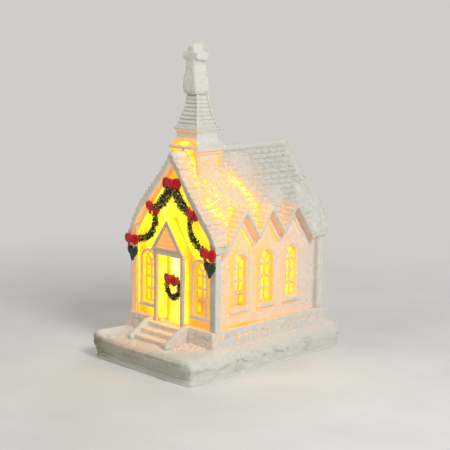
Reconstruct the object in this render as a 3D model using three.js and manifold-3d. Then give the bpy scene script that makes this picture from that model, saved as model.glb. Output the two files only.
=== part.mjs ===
// Lit resin village church: a hollow cast church on a rocky plinth, with a battery light unit in its base.
// Millimetres, +Z up. The door side faces -Y, and the origin is at the middle of the plinth's underside.
import * as THREE from 'three';
import { mergeVertices } from 'three/addons/utils/BufferGeometryUtils.js';
import Module from 'manifold-3d';

const wasm = await Module();
wasm.setup();

// Driving dimensions

// Plinth and the ground on it
const plinthWidth = 60;
const plinthDepth = 89;
const plinthRim = 9.6;
const groundHeight = 10.4;
const plinthCorner = 8;
const groundInset = 3.4;
const rockDepth = 0.45;

// Church body
const naveWidth = 47;
const naveLength = 62.8;
const naveCentreY = 4.65;
const foundationTop = 17.2;
const foundationProud = 0.9;
const foundationFlare = 2.2;
const wallInset = 1.8;
const wallThickness = 2.5;
const pilasterWidth = 2.6;

// Roof
const ridgeHeight = 84.6;
const eaveHalfWidth = 24.7;
const eaveTop = 50;
const eaveBottom = 47.2;
const roofSwell = 1.7;
const roofDrop = 3.2;
const roofCourses = 12;
const courseLip = 0.4;
const roofFrontOverhang = 0.75;
const roofRearOverhang = 2.15;
const rakeMouldingDrop = 4.2;
const rakeMouldingWidth = 2.6;
const rakeMouldingProud = 0.6;

// Dormers, one above each side window
const bayCount = 3;
const bayPitch = 14.7;
const bayCentreY = 2.6;
const dormerPeak = 63.6;
const dormerSlope = 1.4;
const dormerDrop = 2.4;
const dormerFront = 26.6;
const dormerMouldingDrop = 4.6;
const dormerMouldingWidth = 1.4;

// Arched windows
const windowWidth = 6.6;
const windowFrame = 1.1;
const windowHeight = 20.9;
const frameProud = 1.1;
const sideSill = 24.6;
const frontSill = 22.1;
const frontWindowX = 14.8;
const sashThickness = 0.8;
const sashBorder = 0.55;
const glazingBar = 0.75;
const paneThickness = 0.6;
const panePocket = 1.2;
const paneMargin = 0.8;
const sillHeight = 1.2;
const sillReach = 0.7;
const sillProud = 1.6;

// Door, porch and steps
const doorWidth = 11.2;
const doorTop = 43;
const doorSetBack = 0.8;
const doorThickness = 1.6;
const porchReach = 4.75;
const porchHalfWidth = 9.2;
const porchBase = 44.9;
const porchPeak = 57.8;
const porchBorder = 1.4;
const pedimentRecess = 0.7;
const beamHeight = 1.4;
const postX = 7.6;
const postSize = 1.4;
const postSetBack = 1.1;
const landingHeight = 16.3;
const stepCount = 3;
const stepRise = 2.1;
const stepTread = 3.4;
const stepWidth = 18.8;
const cheekWidth = 1.6;
const cheekRise = 1;

// Bell tower, spire and cross
const towerCentreY = -13.4;
const towerWidth = 14.8;
const towerDepth = 13.4;
const towerWall = 2;
const towerFootDrop = 18;
const towerRise = 1.5;
const corniceBand = 1.8;
const corniceProud = 0.8;
const panelBorder = 1.5;
const panelDepth = 0.6;
const neckRise = 4.5;
const dripRise = 1.9;
const spireHeight = 12.9;
const spireHalfWidth = 6.8;
const spireTopHalfWidth = 3.1;
const spireBoards = 8;
const neckHalfWidth = 5.9;
const depthRatio = 0.93;
const crossHeight = 19.6;
const crossFootWidth = 7.2;
const crossShoulder = 5;
const crossStemWidth = 5;
const crossThickness = 6.3;
const crossArmSpan = 8.4;
const crossArmHeight = 3.3;
const crossArmDrop = 4;
const crossOffset = -0.5;

// Painted relief on the front
const garlandRadius = 0.85;
const bowThickness = 1.6;
const wreathRadius = 3.5;
const wreathTube = 1;
const wreathHeight = 30.6;
const wreathBow = { width: 7.6, height: 5.2, rise: 0.4 };
const topBow = { width: 8.6, height: 6.6, drop: 12.2, proud: 0.2 };
const middleBow = { width: 7, height: 5.6, x: 11.2, drop: 23 };
const lowBow = { width: 7.5, height: 5.4, inset: 2.7, drop: 2.2 };
const leafCluster = { inset: 1.3, drop: 7.6, thickness: 0.7 };

// Light unit in the plinth
const unitLength = 40;
const flangeReach = 1.7;
const flangeThickness = 2;
const standClear = 0.4;
const unitWall = 1.2;
const lidThickness = 1.2;
const cellDiameter = 11.6;
const cellHeight = 5.4;
const cellCount = 3;
const cellGap = 0.05;
const cellPlay = 0.8;
const bayHeadroom = 0.7;
const springRoom = 4.5;
const screwRoom = 4.5;
const doorMargin = 2.4;
const batteryDoorThickness = 1.6;
const tongueReach = 1;
const tongueThickness = 0.7;
const tongueWidth = 3;
const tongueRoot = 0.8;
const tongueOffset = 3.6;
const screwShank = 2;
const screwHead = 3.6;
const screwHeadHeight = 0.9;
const screwLength = 2.8;
const screwEdge = 2.6;
const screwPlay = 0.45;
const ledDiameter = 5;
const ledHeight = 8.6;
const ledY = -7.4;
const ledPitch = 2.54;
const leadDiameter = 0.6;
const leadBend = 1.6;
const switchY = 0.6;
const switchTravel = 2.6;
const sliderThickness = 1;
const knobLength = 3.6;
const knobWidth = 2.6;
const stripWidth = 1.4;
const plateGauge = 0.4;
const springWire = 0.5;
const springTurns = 3;
const springRadius = 3.4;
const springEndRadius = 1.9;
const springTailReach = 2;

// Clearances
const fit = 0.3;
const through = 1;

// Values that follow from them
const halfWidth = naveWidth / 2;
const frontY = naveCentreY - naveLength / 2;
const rearY = naveCentreY + naveLength / 2;
const faceX = halfWidth - wallInset;
const faceFrontY = frontY + wallInset;
const faceRearY = rearY - wallInset;
const innerX = faceX - wallThickness;
const roofFront = frontY - roofFrontOverhang;
const roofRear = rearY + roofRearOverhang;
const porchFront = faceFrontY - porchReach;
const postFront = porchFront + postSetBack;
const corniceHeight = ridgeHeight + towerRise;
const neckHeight = corniceHeight + neckRise;
const spireFoot = neckHeight + dripRise;
const spireTop = spireFoot + spireHeight;
const crossTop = spireTop + crossHeight;
const crossArmTop = crossTop - crossArmDrop;
const plateTop = standClear + flangeThickness;
const cellBayWidth = cellDiameter + cellPlay;
const cellBayLength = cellCount * cellHeight + springRoom;
const batteryDoorLength = cellBayLength + screwRoom;
const unitWidth = batteryDoorLength + 2 * doorMargin;
const unitTop = plateTop + fit + cellDiameter + bayHeadroom + unitWall;
const bayYs = Array.from({ length: bayCount }, (_, i) => bayCentreY + (i - (bayCount - 1) / 2) * bayPitch);

// Materials
const finish = (color, roughness, metalness = 0) => new THREE.MeshStandardMaterial({ color, roughness, metalness });
const whiteResin = () => finish(0xe9e6de, 0.6);
const stoneResin = () => finish(0xdedcd4, 0.7);
const amberFilm = () => finish(0xf7c21e, 0.4);
const greenPaint = () => finish(0x17382a, 0.6);
const redPaint = () => finish(0xb5121b, 0.35);
const whitePlastic = () => finish(0xf0efec, 0.5);
const plated = () => finish(0xc7c9cb, 0.3, 1);
const brassPlate = () => finish(0xc9a24a, 0.35, 1);

// Geometry helpers
const quarter = Math.PI / 2;
const ordered = (a, b) => [Math.min(a, b), Math.max(a, b)];
const basis = (a, b, c) => new THREE.Matrix4().makeBasis(
  new THREE.Vector3(...a), new THREE.Vector3(...b), new THREE.Vector3(...c));
const alongX = basis([0, 1, 0], [0, 0, 1], [1, 0, 0]);
const alongY = basis([1, 0, 0], [0, 0, 1], [0, -1, 0]);

function outline(points) {
  return new THREE.Shape(points.map(([x, y]) => new THREE.Vector2(x, y)));
}

// A shape drawn in (y, z) carried along X, and one in (x, z) along Y
function prismX(shape, x0, x1, segments = 4) {
  const geometry = new THREE.ExtrudeGeometry(shape, { depth: x1 - x0, bevelEnabled: false, curveSegments: segments });
  return geometry.applyMatrix4(alongX).translate(x0, 0, 0);
}

function prismY(shape, y0, y1, segments = 4) {
  const geometry = new THREE.ExtrudeGeometry(shape, { depth: y1 - y0, bevelEnabled: false, curveSegments: segments });
  return geometry.applyMatrix4(alongY).translate(0, y1, 0);
}

function box(x0, x1, y0, y1, z0, z1) {
  return new THREE.BoxGeometry(x1 - x0, y1 - y0, z1 - z0)
    .translate((x0 + x1) / 2, (y0 + y1) / 2, (z0 + z1) / 2);
}

function cylinderZ(radius, x, y, z0, z1, sides = 24) {
  return new THREE.CylinderGeometry(radius, radius, z1 - z0, sides).rotateX(quarter).translate(x, y, (z0 + z1) / 2);
}

function cylinderX(radius, x0, x1, y, z, sides = 24) {
  return new THREE.CylinderGeometry(radius, radius, x1 - x0, sides).rotateZ(-quarter).translate((x0 + x1) / 2, y, z);
}

function turned(profile, x, y, sides = 24) {
  const points = profile.map(([r, z]) => new THREE.Vector2(r, z));
  return new THREE.LatheGeometry(points, sides).rotateX(quarter).translate(x, y, 0);
}

// A skin over rings of equal count, closed by a fan at each end
function loft(rings) {
  const count = rings[0].length;
  const positions = rings.flat(2);
  const index = [];
  rings.slice(1).forEach((_, i) => {
    for (let j = 0; j < count; j += 1) {
      const a = i * count + j;
      const b = i * count + ((j + 1) % count);
      index.push(a, b, b + count, a, b + count, a + count);
    }
  });
  const ends = [rings[0], rings.at(-1)];
  ends.forEach((ring, end) => {
    const centre = positions.length / 3;
    const start = end === 0 ? 0 : (rings.length - 1) * count;
    positions.push(...[0, 1, 2].map((k) => ring.reduce((sum, p) => sum + p[k], 0) / count));
    for (let j = 0; j < count; j += 1) {
      const a = start + j;
      const b = start + ((j + 1) % count);
      index.push(centre, ...(end === 0 ? [b, a] : [a, b]));
    }
  });
  const geometry = new THREE.BufferGeometry();
  geometry.setAttribute('position', new THREE.Float32BufferAttribute(positions, 3));
  geometry.setIndex(index);
  return geometry;
}

function solid(geometry) {
  const bare = geometry.clone();
  Object.keys(bare.attributes).filter((key) => key !== 'position').forEach((key) => bare.deleteAttribute(key));
  const merged = mergeVertices(bare, 1e-4);
  return new wasm.Manifold(new wasm.Mesh({
    numProp: 3,
    vertProperties: new Float32Array(merged.attributes.position.array),
    triVerts: new Uint32Array(merged.index.array),
  }));
}

const join = (...geometries) => geometries.flat().map(solid).reduce((a, b) => a.add(b));
const cut = (body, ...geometries) => geometries.flat().map(solid).reduce((a, b) => a.subtract(b), body);

function fromSolid(body) {
  const mesh = body.getMesh();
  const geometry = new THREE.BufferGeometry();
  geometry.setAttribute('position', new THREE.Float32BufferAttribute(Array.from(mesh.vertProperties), 3));
  geometry.setIndex(Array.from(mesh.triVerts));
  return geometry;
}

const church = new THREE.Group();

function piece(name, shape, material) {
  const geometry = shape instanceof THREE.BufferGeometry ? shape : fromSolid(shape);
  const mesh = new THREE.Mesh(geometry, material);
  mesh.name = name;
  church.add(mesh);
  return mesh;
}

// Plinth: a rounded slab with an undercut rocky edge, low ground on top and a pocket for the light unit
function roundedRing(halfX, halfY, corner, z, rock = 0, perCorner = 5, perSide = 5) {
  const centres = [[1, -1], [1, 1], [-1, 1], [-1, -1]];
  const points = centres.flatMap(([sx, sy], side) => {
    const start = (side - 1) * quarter;
    const arc = Array.from({ length: perCorner + 1 }, (_, i) => {
      const angle = start + (i / perCorner) * quarter;
      return [sx * (halfX - corner) + corner * Math.cos(angle), sy * (halfY - corner) + corner * Math.sin(angle)];
    });
    const [nextX, nextY] = centres[(side + 1) % centres.length];
    const end = arc.at(-1);
    const next = [nextX * (halfX - corner) + corner * Math.cos(start + quarter),
      nextY * (halfY - corner) + corner * Math.sin(start + quarter)];
    const edge = Array.from({ length: perSide - 1 }, (_, i) => {
      const t = (i + 1) / perSide;
      return [end[0] + (next[0] - end[0]) * t, end[1] + (next[1] - end[1]) * t];
    });
    return [...arc, ...edge];
  });
  return points.map(([x, y], i) => {
    const around = (i / points.length) * 2 * Math.PI;
    const inward = rock * (0.5 + 0.5 * Math.sin(9 * around + z) * Math.cos(5 * around - 1.3 * z));
    const reach = Math.hypot(x, y);
    return [x * (1 - inward / reach), y * (1 - inward / reach), z];
  });
}

function plinth() {
  const halfX = plinthWidth / 2;
  const halfY = plinthDepth / 2;
  // Inset from the widest line, share of the rim height, and how rocky that level is
  const levels = [[1.3, 0, 0], [0.9, 0.12, 1], [0.7, 0.4, 1], [0, 0.68, 0], [0.1, 0.84, 1], [0.9, 0.95, 1],
    [1.6, 1, 0.6]];
  const rings = levels.map(([inset, share, rock]) =>
    roundedRing(halfX - inset, halfY - inset, plinthCorner - inset, plinthRim * share, rock * rockDepth));
  rings.push(roundedRing(halfX - groundInset, halfY - groundInset, plinthCorner - groundInset, groundHeight));
  const pocket = (reach, top) => box(-unitWidth / 2 - reach, unitWidth / 2 + reach,
    naveCentreY - unitLength / 2 - reach, naveCentreY + unitLength / 2 + reach, -through, top);
  return cut(join(loft(rings)), pocket(fit, groundHeight + through),
    pocket(flangeReach + fit, standClear + flangeThickness));
}

// Foundation: a flared course of stones under the walls, notched for the steps and the door
const rectRing = (halfX, y0, y1, z) => [[-halfX, y0, z], [halfX, y0, z], [halfX, y1, z], [-halfX, y1, z]];
const stepsBack = frontY - fit;

function foundation() {
  const flared = (proud, z) => rectRing(halfWidth + proud, frontY - proud, rearY + proud, z);
  const notchX = stepWidth / 2 + cheekWidth + fit;
  return cut(join(loft([flared(foundationFlare, groundHeight), flared(foundationProud + 0.3, foundationTop - 1.2),
    flared(foundationProud, foundationTop)])),
  box(-innerX, innerX, faceFrontY + wallThickness, faceRearY - wallThickness, 0, foundationTop + through),
  box(-notchX, notchX, frontY - plinthDepth, stepsBack, 0, foundationTop + through),
  box(-doorWidth / 2 - fit, doorWidth / 2 + fit, frontY - plinthDepth, frontY + wallInset + wallThickness + through,
    landingHeight, foundationTop + through));
}

// Roof line: straight from the ridge to the eave, swelling out by roofSwell in between
function roofLine(courses = 0) {
  const count = courses || 8;
  const lip = courses ? courseLip : 0;
  const at = (t) => {
    const swell = roofSwell * Math.sin(Math.PI * t ** 1.6);
    return [eaveHalfWidth * t + 0.8 * swell, ridgeHeight + (eaveTop - ridgeHeight) * t + 0.55 * swell];
  };
  const points = [at(0)];
  for (let i = 1; i <= count; i += 1) {
    const [x, z] = at(i / count);
    if (lip && i < count) points.push([x + lip * 0.8, z + lip * 0.6]);
    points.push([x, z]);
  }
  return points;
}

function roofOutline(drop, courses, bottom) {
  const right = roofLine(courses).map(([x, z]) => [x, z - drop]);
  const left = right.slice(1).map(([x, z]) => [-x, z]).reverse();
  const [footX] = right.at(-1);
  return outline([...left, ...right, [footX, bottom], [-footX, bottom]].reverse());
}

// Zigzag line of the dormer gables, its two outer slopes carried down to a level foot
function dormerOutline(drop, foot) {
  const reach = (dormerPeak - drop - foot) / dormerSlope;
  const points = [[bayYs[0] - reach, foot]];
  bayYs.forEach((y, i) => {
    points.push([y, dormerPeak - drop]);
    if (i < bayCount - 1) points.push([y + bayPitch / 2, dormerPeak - drop - dormerSlope * bayPitch / 2]);
  });
  return outline([...points, [bayYs.at(-1) + reach, foot]].reverse());
}

function roof() {
  const body = join(prismY(roofOutline(0, roofCourses, eaveBottom), roofFront, roofRear),
    prismX(dormerOutline(0, eaveBottom), -dormerFront, dormerFront));
  const lightWell = towerWidth / 2 - towerWall - fit;
  return cut(body,
    prismY(roofOutline(roofDrop, 0, eaveBottom - through), roofFront - through, roofRear + through),
    prismX(dormerOutline(dormerDrop, eaveBottom - through), -dormerFront - through,
      dormerFront + through),
    box(-lightWell, lightWell, towerCentreY - lightWell, towerCentreY + lightWell, dormerPeak,
      ridgeHeight + through));
}

// Windows: a round arch drawn at s = 0 with its sill line at z = 0
function arch(width, height, grow = 0, below = grow) {
  const r = width / 2 + grow;
  const spring = height - width / 2;
  const shape = new THREE.Shape();
  shape.moveTo(-r, -below);
  shape.lineTo(r, -below);
  shape.lineTo(r, spring);
  shape.absarc(0, spring, r, 0, Math.PI, false);
  shape.lineTo(-r, -below);
  return shape;
}

// Lights of the sash: two columns of three panes and a three-light arch head with a forked bar
function lightHoles() {
  const edge = windowWidth / 2 - sashBorder;
  const half = glazingBar / 2;
  const spring = windowHeight - windowWidth / 2;
  const rows = 3;
  const headBar = spring - 2.4;
  const pitch = (headBar - sashBorder) / rows;
  const rectangle = (x0, x1, z0, z1) => [[x0, z0], [x1, z0], [x1, z1], [x0, z1]];
  const holes = [];
  for (let row = 0; row < rows; row += 1) {
    const z0 = sashBorder + row * pitch + (row ? half : 0);
    const z1 = sashBorder + (row + 1) * pitch - half;
    holes.push(rectangle(-edge, -half, z0, z1), rectangle(half, edge, z0, z1));
  }
  const onArch = (degrees) => {
    const angle = degrees * Math.PI / 180;
    return [edge * Math.cos(angle), spring + edge * Math.sin(angle)];
  };
  const headFoot = headBar + half;
  const forkZ = headFoot + 1.1;
  const side = [[half, headFoot], [edge, headFoot], ...[0, 28].map(onArch), [edge * 0.42, spring + 0.1],
    [half, forkZ + 0.2]];
  holes.push(side, side.map(([x, z]) => [-x, z]).reverse());
  holes.push([[0, forkZ + 1], [edge * 0.36, spring + 0.8], ...[46, 68, 90, 112, 134].map(onArch),
    [-edge * 0.36, spring + 0.8]]);
  return holes.map(outline);
}

// Parts of one window in a wall whose outer face is the plane X = 0 and looks along +X
function windowSet(turn, x, y, z) {
  const place = (geometry) => geometry.rotateZ(turn).translate(x, y, z);
  const innerFace = -wallThickness;
  const sashBack = innerFace + panePocket;
  const opening = arch(windowWidth, windowHeight);
  const sash = cut(join(prismX(arch(windowWidth, windowHeight, sashBorder), sashBack, sashBack + sashThickness)),
    lightHoles().map((light) => prismX(light, innerFace, through)));
  const frame = cut(join(prismX(arch(windowWidth, windowHeight, windowFrame), -0.2, frameProud)),
    prismX(opening, -through, frameProud + through));
  const sillX = windowWidth / 2 + windowFrame + sillReach;
  const sill = box(-0.2, sillProud, -sillX, sillX, -windowFrame - sillHeight / 2, -windowFrame + sillHeight / 2);
  return {
    cuts: [prismX(opening, innerFace - through, through),
      prismX(arch(windowWidth, windowHeight, paneMargin), innerFace - through, sashBack)].map(place),
    adds: [fromSolid(sash), fromSolid(frame), sill].map(place),
    pane: place(prismX(arch(windowWidth, windowHeight, paneMargin - 0.2), sashBack - paneThickness, sashBack)),
  };
}

const windows = [
  ...bayYs.map((y, i) => ({ name: `window_pane_right_${i + 1}`, at: [0, faceX, y, sideSill] })),
  ...bayYs.map((y, i) => ({ name: `window_pane_left_${i + 1}`, at: [2 * quarter, -faceX, y, sideSill] })),
  ...[-1, 1].map((s) => ({ name: `window_pane_front_${s < 0 ? 'left' : 'right'}`,
    at: [-quarter, s * frontWindowX, faceFrontY, frontSill] })),
  ...[-1, 1].map((s) => ({ name: `window_pane_rear_${s < 0 ? 'left' : 'right'}`,
    at: [quarter, s * frontWindowX, faceRearY, frontSill] })),
].map((w) => ({ ...w, parts: windowSet(...w.at) }));

// Walls: four cast panels between corner pilasters, trimmed to the underside of the roof
function walls() {
  const tall = ridgeHeight;
  const wallBand = (a, b) => cut(join(a), b);
  const under = join(prismY(roofOutline(roofDrop + fit, 0, 0), frontY - through, rearY + through),
    prismX(dormerOutline(dormerDrop + fit, foundationTop), -dormerFront, dormerFront));
  const pilasters = [-1, 1].flatMap((sx) => [-1, 1].map((sy) => {
    const x = ordered(sx * halfWidth, sx * (halfWidth - pilasterWidth));
    const end = sy < 0 ? frontY : rearY;
    const y = ordered(end, end - sy * pilasterWidth);
    return box(...x, ...y, foundationTop, tall);
  }));
  const room = box(-innerX, innerX, faceFrontY + wallThickness, faceRearY - wallThickness, 0, tall + through);
  const shell = cut(join(box(-faceX, faceX, faceFrontY, faceRearY, foundationTop, tall), pilasters), room);
  const gableTrim = [[faceFrontY - rakeMouldingProud, faceFrontY + 0.2],
    [faceRearY - 0.2, faceRearY + rakeMouldingProud]]
    .map(([y0, y1]) => wallBand(prismY(roofOutline(rakeMouldingDrop, 0, foundationTop), y0, y1),
      prismY(roofOutline(rakeMouldingDrop + rakeMouldingWidth, 0, 0), y0 - through, y1 + through)));
  const dormerTrim = [-1, 1].map((s) => {
    const x = ordered(s * (faceX - 0.2), s * (faceX + frameProud));
    return wallBand(prismX(dormerOutline(dormerMouldingDrop, eaveBottom), ...x),
      prismX(dormerOutline(dormerMouldingDrop + dormerMouldingWidth, eaveBottom - through), x[0] - through,
        x[1] + through));
  });
  let body = [...gableTrim, ...dormerTrim].reduce((a, b) => a.add(b), shell).intersect(under);
  body = cut(body, windows.flatMap((w) => w.parts.cuts));
  body = body.add(join(windows.flatMap((w) => w.parts.adds)).intersect(under));
  return cut(body, box(-doorWidth / 2 - fit, doorWidth / 2 + fit, frontY - through,
    faceFrontY + wallThickness + through, foundationTop - through, doorTop + fit));
}

// Entrance: moulded door, steps between sloping cheeks, two posts and a gabled porch
function frontDoor() {
  const front = faceFrontY + doorSetBack;
  const half = doorWidth / 2;
  const panels = [-1, 1].flatMap((s) => [[0.08, 0.42], [0.5, 0.92]].map(([low, high]) => {
    const x = ordered(s * 0.9, s * (half - 0.9));
    const height = doorTop - landingHeight;
    return box(...x, front - through, front + 0.5, landingHeight + low * height, landingHeight + high * height);
  }));
  return cut(join(box(-half, half, front, front + doorThickness, landingHeight, doorTop)), panels);
}

function entranceSteps() {
  const half = stepWidth / 2;
  const landingFront = stepsBack - stepTread * 1.15;
  const profile = [[stepsBack, groundHeight], [stepsBack, landingHeight], [landingFront, landingHeight]];
  for (let i = 1; i < stepCount; i += 1) {
    const z = landingHeight - i * stepRise;
    profile.push([landingFront - (i - 1) * stepTread, z], [landingFront - i * stepTread, z]);
  }
  const foot = landingFront - (stepCount - 1) * stepTread;
  profile.push([foot, groundHeight]);
  const cheekBack = landingHeight + cheekRise;
  const cheekFoot = landingHeight - stepCount * stepRise + 2.3;
  const cheek = [[stepsBack, groundHeight], [stepsBack, cheekBack], [landingFront, cheekBack],
    [foot - 1.4, cheekFoot], [foot - 1.8, cheekFoot - 0.4], [foot - 1.8, groundHeight]];
  return join(prismX(outline(profile.reverse()), -half - 0.2, half + 0.2),
    [-1, 1].map((s) => prismX(outline([...cheek].reverse()),
      ...ordered(s * half, s * (half + cheekWidth)))));
}

function porchGable() {
  const rise = porchPeak - porchBase;
  const triangle = (border) => {
    const peakDrop = border * Math.hypot(porchHalfWidth, rise) / porchHalfWidth;
    const half = porchHalfWidth * (1 - (border + peakDrop) / rise);
    return outline([[-half, porchBase + border], [half, porchBase + border], [0, porchPeak - peakDrop]]);
  };
  const body = join(prismY(triangle(0), porchFront, faceFrontY),
    box(-postX - postSize, postX + postSize, postFront, faceFrontY, porchBase - beamHeight, porchBase + 0.2));
  return cut(body, prismY(triangle(porchBorder), porchFront - through, porchFront + pedimentRecess));
}

function porchPost(side) {
  const x = ordered(side * (postX - postSize / 2), side * (postX + postSize / 2));
  return join(box(...x, postFront, postFront + postSize, landingHeight, porchBase - beamHeight));
}

// Bell tower: a framed box astride the ridge, open below to the light, with a cornice
function bellTower() {
  const halfX = towerWidth / 2;
  const halfY = towerDepth / 2;
  const bodyTop = corniceHeight - corniceBand;
  const foot = ridgeHeight - towerFootDrop;
  const ring = (grow, z) => rectRing(halfX + grow, towerCentreY - halfY - grow, towerCentreY + halfY + grow, z);
  const body = join(loft([ring(0, foot), ring(0, bodyTop)]),
    loft([ring(0, bodyTop - 0.6), ring(corniceProud, bodyTop), ring(corniceProud, corniceHeight)]));
  const frame = (half) => [-half + panelBorder, half - panelBorder];
  const panelTop = bodyTop - panelBorder;
  const panels = [-1, 1].flatMap((s) => {
    const x = ordered(s * (halfX - panelDepth), s * (halfX + through));
    const y = ordered(s * (halfY - panelDepth), s * (halfY + through)).map((v) => v + towerCentreY);
    return [box(...x, ...frame(halfY).map((v) => v + towerCentreY), foot - through, panelTop),
      box(...frame(halfX), ...y, foot - through, panelTop)];
  });
  return cut(body, panels,
    box(-halfX + towerWall, halfX - towerWall, towerCentreY - halfY + towerWall, towerCentreY + halfY - towerWall,
      foot - through, bodyTop),
    prismY(roofOutline(-courseLip - fit, 0, 0), roofFront, roofRear));
}

// Spire: a concave neck, a drip edge, then weatherboards drawn in along a flared curve
function spire() {
  const ring = (half, z) => rectRing(half, towerCentreY - half * depthRatio, towerCentreY + half * depthRatio, z);
  const rings = [ring(towerWidth / 2 + 0.3, corniceHeight), ring(neckHalfWidth + 0.4, corniceHeight + 1.6),
    ring(neckHalfWidth, neckHeight - 1.6), ring(neckHalfWidth, neckHeight), ring(spireHalfWidth, spireFoot),
    ring(spireHalfWidth - 0.1, spireFoot + 0.3)];
  const flare = (t) => spireTopHalfWidth + (spireHalfWidth - 0.7 - spireTopHalfWidth) * (1 - t) ** 1.5;
  for (let i = 0; i < spireBoards; i += 1) {
    const [t0, t1] = [i / spireBoards, (i + 1) / spireBoards];
    const z = (t) => spireFoot + 0.6 + (spireTop - spireFoot - 0.6) * t;
    rings.push(ring(flare(t0) + 0.15, z(t0)), ring(flare(t1) - 0.1, z(t1) - 0.12));
  }
  rings.push(ring(spireTopHalfWidth, spireTop));
  return join(loft(rings));
}

// Cross: a chunky worn Latin cross on a swelling foot, its arms along X
function spireCross() {
  const y = towerCentreY + crossOffset;
  const ring = (width, depth, z, corner) => roundedRing(width / 2, depth / 2, corner, z, 0, 2, 1)
    .map(([px, py, pz]) => [px + crossOffset, py + y, pz]);
  const foot = spireTop;
  const stem = loft([
    ring(crossFootWidth - 1.4, crossThickness - 0.9, foot, 0.9),
    ring(crossFootWidth - 0.4, crossThickness - 0.1, foot + 0.5, 0.9),
    ring(crossFootWidth, crossThickness + 0.3, foot + 1.6, 0.9),
    ring(crossFootWidth - 0.4, crossThickness + 0.2, foot + crossShoulder, 0.8),
    ring(crossStemWidth, crossThickness - 0.3, crossArmTop - 2, 0.7),
    ring(crossStemWidth - 1.2, crossThickness - 0.8, crossTop - 0.9, 0.6),
    ring(crossStemWidth - 2.4, crossThickness - 2, crossTop, 0.4),
  ]);
  const armZ = crossArmTop - crossArmHeight / 2;
  const armRing = (x, share) => roundedRing(crossThickness * share / 2, crossArmHeight * share / 2, 0.6, x, 0, 2, 1)
    .map(([a, b, c]) => [c + crossOffset, a + y, b + armZ]);
  const reach = crossArmSpan / 2;
  const arms = loft([armRing(-reach, 0.86), armRing(-reach + 0.5, 1), armRing(reach - 0.5, 1), armRing(reach, 0.86)]);
  return join(stem, arms);
}

// Relief pieces: leafy swags, ribbon bows, hanging leaves and a door wreath
function swag(points, side) {
  const curve = new THREE.CatmullRomCurve3(points.map(([x, z, lift]) =>
    new THREE.Vector3(side * x, faceFrontY - garlandRadius - fit - lift, ridgeHeight - z)));
  const steps = 24;
  const sides = 6;
  const rings = Array.from({ length: steps + 1 }, (_, i) => {
    const t = i / steps;
    const centre = curve.getPointAt(t);
    const along = curve.getTangentAt(t);
    const across = new THREE.Vector3(0, 1, 0).cross(along).normalize();
    const out = along.clone().cross(across);
    const ends = Math.min(1, 0.45 + 6 * Math.min(t, 1 - t));
    const radius = garlandRadius * ends * (0.86 + 0.14 * Math.sin(2.4 * i));
    return Array.from({ length: sides }, (_, j) => {
      const angle = (j / sides) * 2 * Math.PI;
      return centre.clone().addScaledVector(across, radius * Math.cos(angle))
        .addScaledVector(out, radius * Math.sin(angle)).toArray();
    });
  });
  return loft(rings);
}

function ellipsoid(rx, ry, rz, x, y, z, tilt = 0) {
  return new THREE.SphereGeometry(1, 8, 5).rotateX(quarter).scale(rx, ry, rz).rotateY(tilt).translate(x, y, z);
}

function bow(x, y, z, { width, height }) {
  const lobe = width / 4;
  const deep = bowThickness / 2;
  const parts = [ellipsoid(width / 8, deep, height / 7, x, y, z)];
  [-1, 1].forEach((s) => {
    parts.push(ellipsoid(lobe * 1.05, deep * 0.9, height / 4.2, x + s * lobe * 0.95, y, z + height * 0.13,
      s * -0.35));
    const tail = outline([[s * 0.2, 0.3], [s * lobe * 1.2, -height * 0.5], [s * lobe * 0.35, -height * 0.56]]
      .map(([a, b]) => [x + a, z + b]));
    parts.push(prismY(tail, y - deep * 0.45, y + deep * 0.45));
  });
  return join(parts);
}

function leaves(x, y, z, side) {
  const spread = [[-0.9, 0, 0.5], [0.9, -0.2, -0.45], [0.1, -2.2, side * 0.1]];
  return join(spread.map(([dx, dz, tilt]) => ellipsoid(1.1, leafCluster.thickness, 2.1, x + dx, y, z + dz, tilt)));
}

function wreath(y) {
  const ring = new THREE.TorusGeometry(wreathRadius, wreathTube, 6, 28);
  const position = ring.attributes.position;
  const point = new THREE.Vector3();
  for (let i = 0; i < position.count; i += 1) {
    point.fromBufferAttribute(position, i);
    const angle = Math.atan2(point.y, point.x);
    const centre = new THREE.Vector3(wreathRadius * Math.cos(angle), wreathRadius * Math.sin(angle), 0);
    point.sub(centre).multiplyScalar(0.9 + 0.1 * Math.cos(14 * angle)).add(centre);
    position.setXYZ(i, point.x, point.y, point.z);
  }
  return join(ring.rotateX(quarter).translate(0, y, wreathHeight));
}

// Light unit: a moulded box in the plinth, seen from below as its flange, battery door and switch
const unitY = [naveCentreY - unitLength / 2, naveCentreY + unitLength / 2];
const cellY = unitY[1] - unitWall - cellBayWidth / 2;
const bayY = [cellY - cellBayWidth / 2, cellY + cellBayWidth / 2];
const roomY = [unitY[0] + unitWall, bayY[0] - unitWall];
const cellZ = plateTop + fit + cellDiameter / 2;
const doorEdge = batteryDoorLength / 2;
const doorUpper = standClear + batteryDoorThickness;
const bayX = [-doorEdge - fit, -doorEdge - fit + cellBayLength];
const screwX = doorEdge - screwEdge;
const cellStart = -doorEdge + 2 * fit + tongueRoot;
const cellEnd = cellStart + cellCount * cellHeight + (cellCount - 1) * cellGap;
const knobRestX = switchTravel / 2;
const sliderTop = plateTop + 0.1 + sliderThickness;
const stripZ = sliderTop + plateGauge + fit;
const stripHeight = 1.6;
const springTailX = bayX[1] - fit - springWire / 2;
const springTailZ = cellZ + springRadius;
const slideHalf = knobLength / 2 + switchTravel + 1;

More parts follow.
